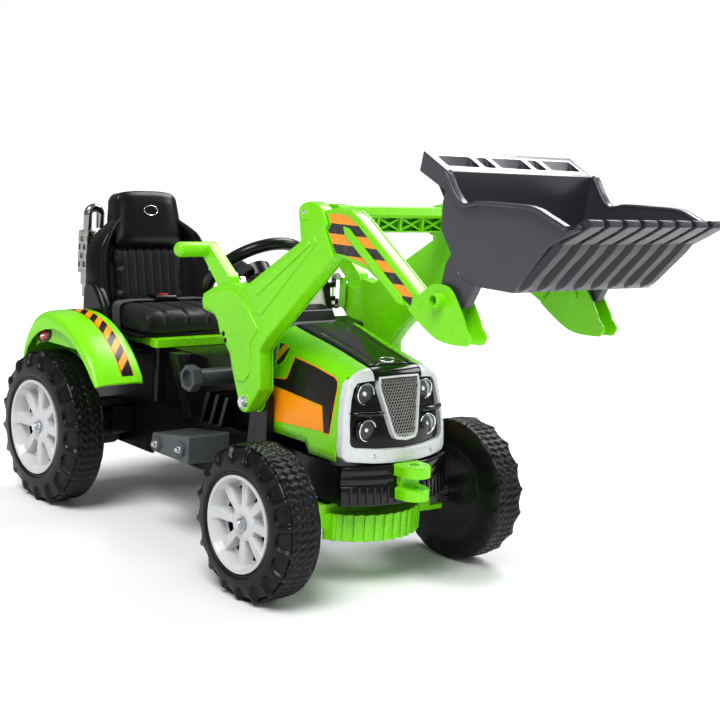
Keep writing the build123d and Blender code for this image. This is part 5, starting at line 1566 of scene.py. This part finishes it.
def bumper():
    """Stepped glossy bumper under the fascia with fine upright ribs between its two rolls."""
    rolls = (("upper", 213, 198, 4), ("middle", 199, 182, 1.6), ("lower", 183, 150, 3.4))
    for name, top, low, proud in rolls:
        outer, inner = ([(x, z) for x in (-114, -60, 0, 60, 114)] for z in (top, low))
        nose_band(f"bumper_{name}", outer, inner, proud, 9, gloss_black, count=60)
    ribs, pitch = 17, 12.6
    for k in range(ribs):
        x = (k - (ribs - 1) / 2) * pitch
        left, right = ([(edge, 180), (edge, 153)] for edge in (x - 2.2, x + 2.2))
        nose_band(f"bumper_rib_{k}", left, right, 5.2, 5, gloss_black, count=6)


def rear_details():
    """Raised border on the green rear panel and level louvres on the back of the tub."""
    panel_y = (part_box("rear_panel")[1].y - AXLE_Y) / MM
    outer = [(-98, 274), (98, 274), (98, 332), (82, 390), (-48, 390), (-98, 332)]
    loops = ((outer, 0), (grown(outer, -1.6), 1.6), (grown(outer, -5.6), 1.6), (grown(outer, -7.2), 0))
    verts = [at(x, panel_y + lift, z) for loop, lift in loops for x, z in loop]
    faces = grid_faces(4, len(outer), closed_columns=True)
    border = piece("rear_panel_border", verts, faces, green, "chassis", angle=30)
    tub_y = (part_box("chassis_tub")[1].y - AXLE_Y) / MM
    louvre_foot, louvre_pitch, louvre_half = 138, 22, 58
    for k in range(5):
        z = louvre_foot + louvre_pitch * k
        section = ((0, 0), (2.4, 1.2), (2.8, 2.4), (2.4, 3.6), (0, 9))
        edges = (-louvre_half, louvre_half)
        verts = [at(x, tub_y - 0.4 + lift, z + rise) for x in edges for lift, rise in section]
        faces = grid_faces(2, 5) + [(0, 1, 2, 3, 4), (9, 8, 7, 6, 5), (0, 4, 9, 5)]
        louvre = piece(f"rear_louvre_{k}", verts, faces, black, "chassis", angle=30)


def footrest_details():
    """Two round bosses with bolts on the outer face of each footrest."""
    low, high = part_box("footrests")
    x, y, z = high.x / MM, (low.y - AXLE_Y) / MM, low.z / MM
    boss = [(x - 6, 0), (x - 6, 12.5), (x + 1.2, 12.5), (x + 2.4, 11.2), (x + 2.4, 7.4)]
    boss += [(x + 1.4, 6.8), (x + 1.4, 0)]
    for side, flip in SIDES:
        for k, (back, up) in enumerate(((98.5, 16), (24.5, 22))):
            obj = turned(f"footrest_boss_{k}_{side}", y + back, z + up, boss, foot_grey, "chassis", 40, flip)
            hex_bolt(f"footrest_bolt_{k}_{side}", y + back, z + up, x + 1.2, 8, "chassis", flip)


def hood_top(x, y):
    """Height of the hood's crown line at x."""
    shoulder, crown = hood_numbers(y)[2:]
    side_top = shoulder - SHOULDER_DROP
    edge = hood_side_x(y, side_top)
    turn = acos(min(1, (min(abs(x), edge) / edge) ** (1 / CROWN_X)))
    return side_top + (crown - side_top) * sin(turn) ** CROWN_Z


def nose_cap(name, low, high, mat, lift):
    """Rounded front of the bonnet between the hood skin and the fascia, from one x to another."""
    columns, rows, verts = 29, 12, []
    for r in range(rows):
        turn = r / (rows - 1) * pi / 2
        for c in range(columns):
            x = low + (high - low) * c / (columns - 1)
            start = Vector((-43.5, hood_top(x, -46) + lift))
            z_end = 345 if abs(x) < 60 else 345 - (abs(x) - 60) * 0.12
            end = Vector((nose_y(x, z_end) - 1.8, z_end))
            y = start.x + (end.x - start.x) * sin(turn)
            verts.append(at(x, y, end.y + (start.y - end.y) * cos(turn)))
    obj = piece(name, verts, grid_faces(rows, columns), mat, "chassis", angle=60)
    thicken(obj, 3)
    bevel(obj, 0.8, 2, 50)


def hood_cap():
    """Gloss middle and grey shoulders of the bonnet's front, and the gloss strip along its crown."""
    nose_cap("nose_cap", -52, 52, gloss_black, 1.4)
    nose_cap("nose_shoulder_left", 51, 94.5, fascia_grey, 0.6)
    nose_cap("nose_shoulder_right", -94.5, -51, fascia_grey, 0.6)
    rows, columns, verts = 40, 31, []
    for r in range(rows):
        y = 133 + (-44 - 133) * r / (rows - 1)
        half = 62 - 10 * smoothstep(133, 20, y)
        for c in range(columns):
            u = 2 * c / (columns - 1) - 1
            raised = 2.4 * (1 - smoothstep(0.9, 1, abs(u))) + 0.2
            crease = 1.4 * exp(-(((abs(u) - 0.62) / 0.06) ** 2))
            verts.append(at(u * half, y, hood_top(u * half, y) + raised - crease))
    strip = piece("hood_strip_skin", verts, grid_faces(rows, columns), gloss_black, "chassis", angle=60)
    thicken(strip, 1.5)
    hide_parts("hood_strip")


# ---------------------------------------------------------------- loader arms
# outlines in (distance behind the front axle, height)
ARM_LINE = [
    (117.6, 282.3), (99, 308), (105, 371), (87, 395), (-62, 540), (-65, 545), (-41, 582), (-47.5, 591),
    (-34, 611.6), (-17, 620), (-0.4, 622), (16, 618), (25, 606), (15, 560), (157, 469), (192, 474),
    (240, 460), (270, 445), (273, 431), (268, 417), (236, 414), (225, 403), (218, 386), (186, 354),
    (177, 328), (155.6, 282.3), (150, 270.5), (136.6, 263.5), (123, 270.5),
]
PANEL_LINE = [
    (140, 316), (128, 330), (130, 380), (112, 408), (150, 446), (190, 461), (238, 451), (261, 438),
    (262, 424), (232, 420), (216, 408), (208, 390), (176, 360), (168, 332), (160, 316),
]
LIMB_LINE = [(0, 563), (148, 468.5), (118, 432), (104, 430), (-28, 561), (-18, 574)]
RIDGE_LINE = [(8, 553), (126, 476.5), (115, 461), (-14, 557), (-8, 564)]
BOOM_LINE = [
    (-35.6, 611.6), (-66, 618), (-93, 617), (-117, 606), (-262, 507), (-240, 486), (-139, 533.5),
    (-89, 542.5), (-66.6, 544.8), (-41.7, 582), (-48.7, 591),
]
BOOM_RIB_LINE = [
    (-84, 592), (-98, 590), (-222, 505), (-228, 492), (-214, 494), (-90, 578),
]
CLEVIS_LINE = [
    (-240, 490), (-259, 511), (-278, 527), (-298, 532), (-321, 526), (-347, 492), (-354, 479),
    (-364, 468), (-362, 458), (-351, 453), (-298, 455), (-241, 486),
]
CLEVIS_ROOT_LINE = [(-241, 489), (-254, 511), (-272, 521), (-272, 472)]
# inner and outer face of the arms, and the axes of the lift, of the elbow and of the bucket
ARM_IN, ARM_OUT = 131, 158
PIVOT, ELBOW, BUCKET_PIN = (136.6, 282.3), (8.6, 604.5), (-301, 510)
# turned profiles in (distance from the middle of the toy, radius)
ELBOW_DISC = [(157, 0), (157, 12.5), (158.8, 12), (159.4, 10.5), (158.4, 6), (158.2, 0)]
ELBOW_SCREW = [(158, 0), (158, 4), (159, 3.6), (159.2, 1.6), (158.5, 1.2), (158.5, 0)]
ARM_SCREW = [(160, 0), (160, 4.6), (160.9, 4.2), (161, 2.6), (160.4, 1.8), (160.4, 0)]
CLEVIS_SCREW = [(157.4, 0), (157.4, 3.4), (158.8, 3.2), (158.9, 1.6), (158.4, 1.2), (158.4, 0)]
PIVOT_BOSS = [(157, 0), (157, 17), (158.6, 17), (160, 15.6), (160, 0)]
PIN_BOSS = [
    (157, 0), (157, 13), (158.2, 11.4), (171, 10.2), (172, 9.6), (172.4, 8.6), (172, 7.2), (162, 6.6),
    (162, 0),
]


def arm(side, flip):
    """Lower arm with its hollow, raised panels, elbow, screws and pivot boss."""

    def raised(name, line, foot, top, width):
        return side_slab(f"{name}_{side}", line, foot, top, flip, green, "loader", width, 3)

    skin = side_slab(f"arm_skin_{side}", ARM_LINE, ARM_IN, ARM_OUT, flip, green, "loader", 4, 4)
    box = [(184, 404), (276, 404), (276, 490), (184, 490)]
    cut(skin, [prism(box, ARM_IN + 0.5, ARM_OUT - 3.5, lambda c, depth: at(flip * depth, c[0], c[1]))])
    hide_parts(f"arm_{side}")
    made = [
        skin,
        raised("arm_bulge", grown(PANEL_LINE, 2), 156, 160.4, 2.2),
        raised("arm_limb", LIMB_LINE, 156, 159.6, 1.6),
        raised("arm_ridge", RIDGE_LINE, 158, 161.6, 1.4),
        turned(f"arm_elbow_{side}", *ELBOW, ELBOW_DISC, green, "loader", 40, flip),
        turned(f"elbow_screw_{side}", *ELBOW, ELBOW_SCREW, steel, "loader", 24, flip),
        turned(f"arm_screw_0_{side}", 195, 376, ARM_SCREW, black, "loader", 24, flip),
        turned(f"arm_screw_1_{side}", 201, 386, ARM_SCREW, black, "loader", 24, flip),
        turned(f"pivot_boss_{side}", *PIVOT, PIVOT_BOSS, green, "loader", 48, flip),
    ]


def boom(side, flip, clevis):
    """Upper arm with its raised rib, the two clevis plates and the boss of the bucket pin."""

    def plate(name, line, inner, outer, width):
        return side_slab(f"{name}_{side}", line, inner, outer, flip, green, "loader", width, 3)

    skin = side_slab(f"boom_skin_{side}", BOOM_LINE, ARM_IN, 155, flip, green, "loader", 3.2, 4)
    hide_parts(f"boom_{side}")
    made = [
        plate("clevis_outer", clevis, 154, 158, 1.6),
        plate("clevis_inner", clevis, 124, 128, 1.6),
        plate("clevis_root", CLEVIS_ROOT_LINE, 126, 156, 1),
        plate("boom_rib", BOOM_RIB_LINE, 154, 158.4, 1.8),
        turned(f"pin_boss_{side}", *BUCKET_PIN, PIN_BOSS, green, "loader", 48, flip),
    ]
    for k, (y, z) in enumerate(((-262, 500), (-330, 470), (-352, 462))):
        made.append(turned(f"clevis_screw_{k}_{side}", y, z, CLEVIS_SCREW, green, "loader", 24, flip))


def arms():
    """Both sides of the loader; the clevis outline is rounded first."""
    clevis = smooth_line([*CLEVIS_LINE, CLEVIS_LINE[0]], 4)[:-1]
    for side, flip in SIDES:
        arm(side, flip)
        boom(side, flip, clevis)


bpy.context.scene.view_settings.view_transform = "Standard"
bpy.context.scene.view_settings.gamma = 0.86
camera()
backdrop()
lights()
white_floor()
wheels()
seat_shell()
seat_cushion()
seat_back_pad()
belt()
for side, flip in SIDES:
    fender(flip, side)
hood()
hood_stickers()
boom_stickers()
headlamp_set()
bucket()
nose()
hood_cap()
arms()
badge_pair()
bumper()
footrest_details()
rear_details()

# ---------------------------------------------------------------- finishes of the CAD nodes
kept = {
    green_cad: "seat_trim rear_panel hood arm_left arm_right boom_left boom_right arm_covers crossbar "
    "hand_levers tow_hitch front_axle_beam fender_left fender_right bucket_pins",
    black_cad: "chassis_tub battery gearboxes dash_cowl windscreen_frame seat_shell accelerator_pedal "
    "tie_rod headlamp_bezels belt_buckle steering_wheel",
    green: "horn_button",
    gloss_black: "hood_strip",
    tube_grey: "side_tubes",
    foot_grey: "footrests",
    bucket_grey: "bucket",
    steel: "rear_axle loader_pivot_bolts steering_shaft knuckle_left knuckle_right",
    chrome: "mirror_left mirror_right badges",
    exhaust_chrome: "exhaust_shield exhaust_stack",
    grille_chrome: "grille",
    fascia_grey: "fascia",
    red: "power_button direction_switch",
    tail_lens: "tail_lamps",
    lens_clear: "headlamps",
    screen_clear: "windscreen",
    strap_cloth: "lap_belt",
    seat_leather: "seat_cushion backrest_pad",
}
for mat, names in kept.items():
    for name in names.split():
        mesh = nodes[name].data
        mesh.materials.clear()
        mesh.materials.append(mat)
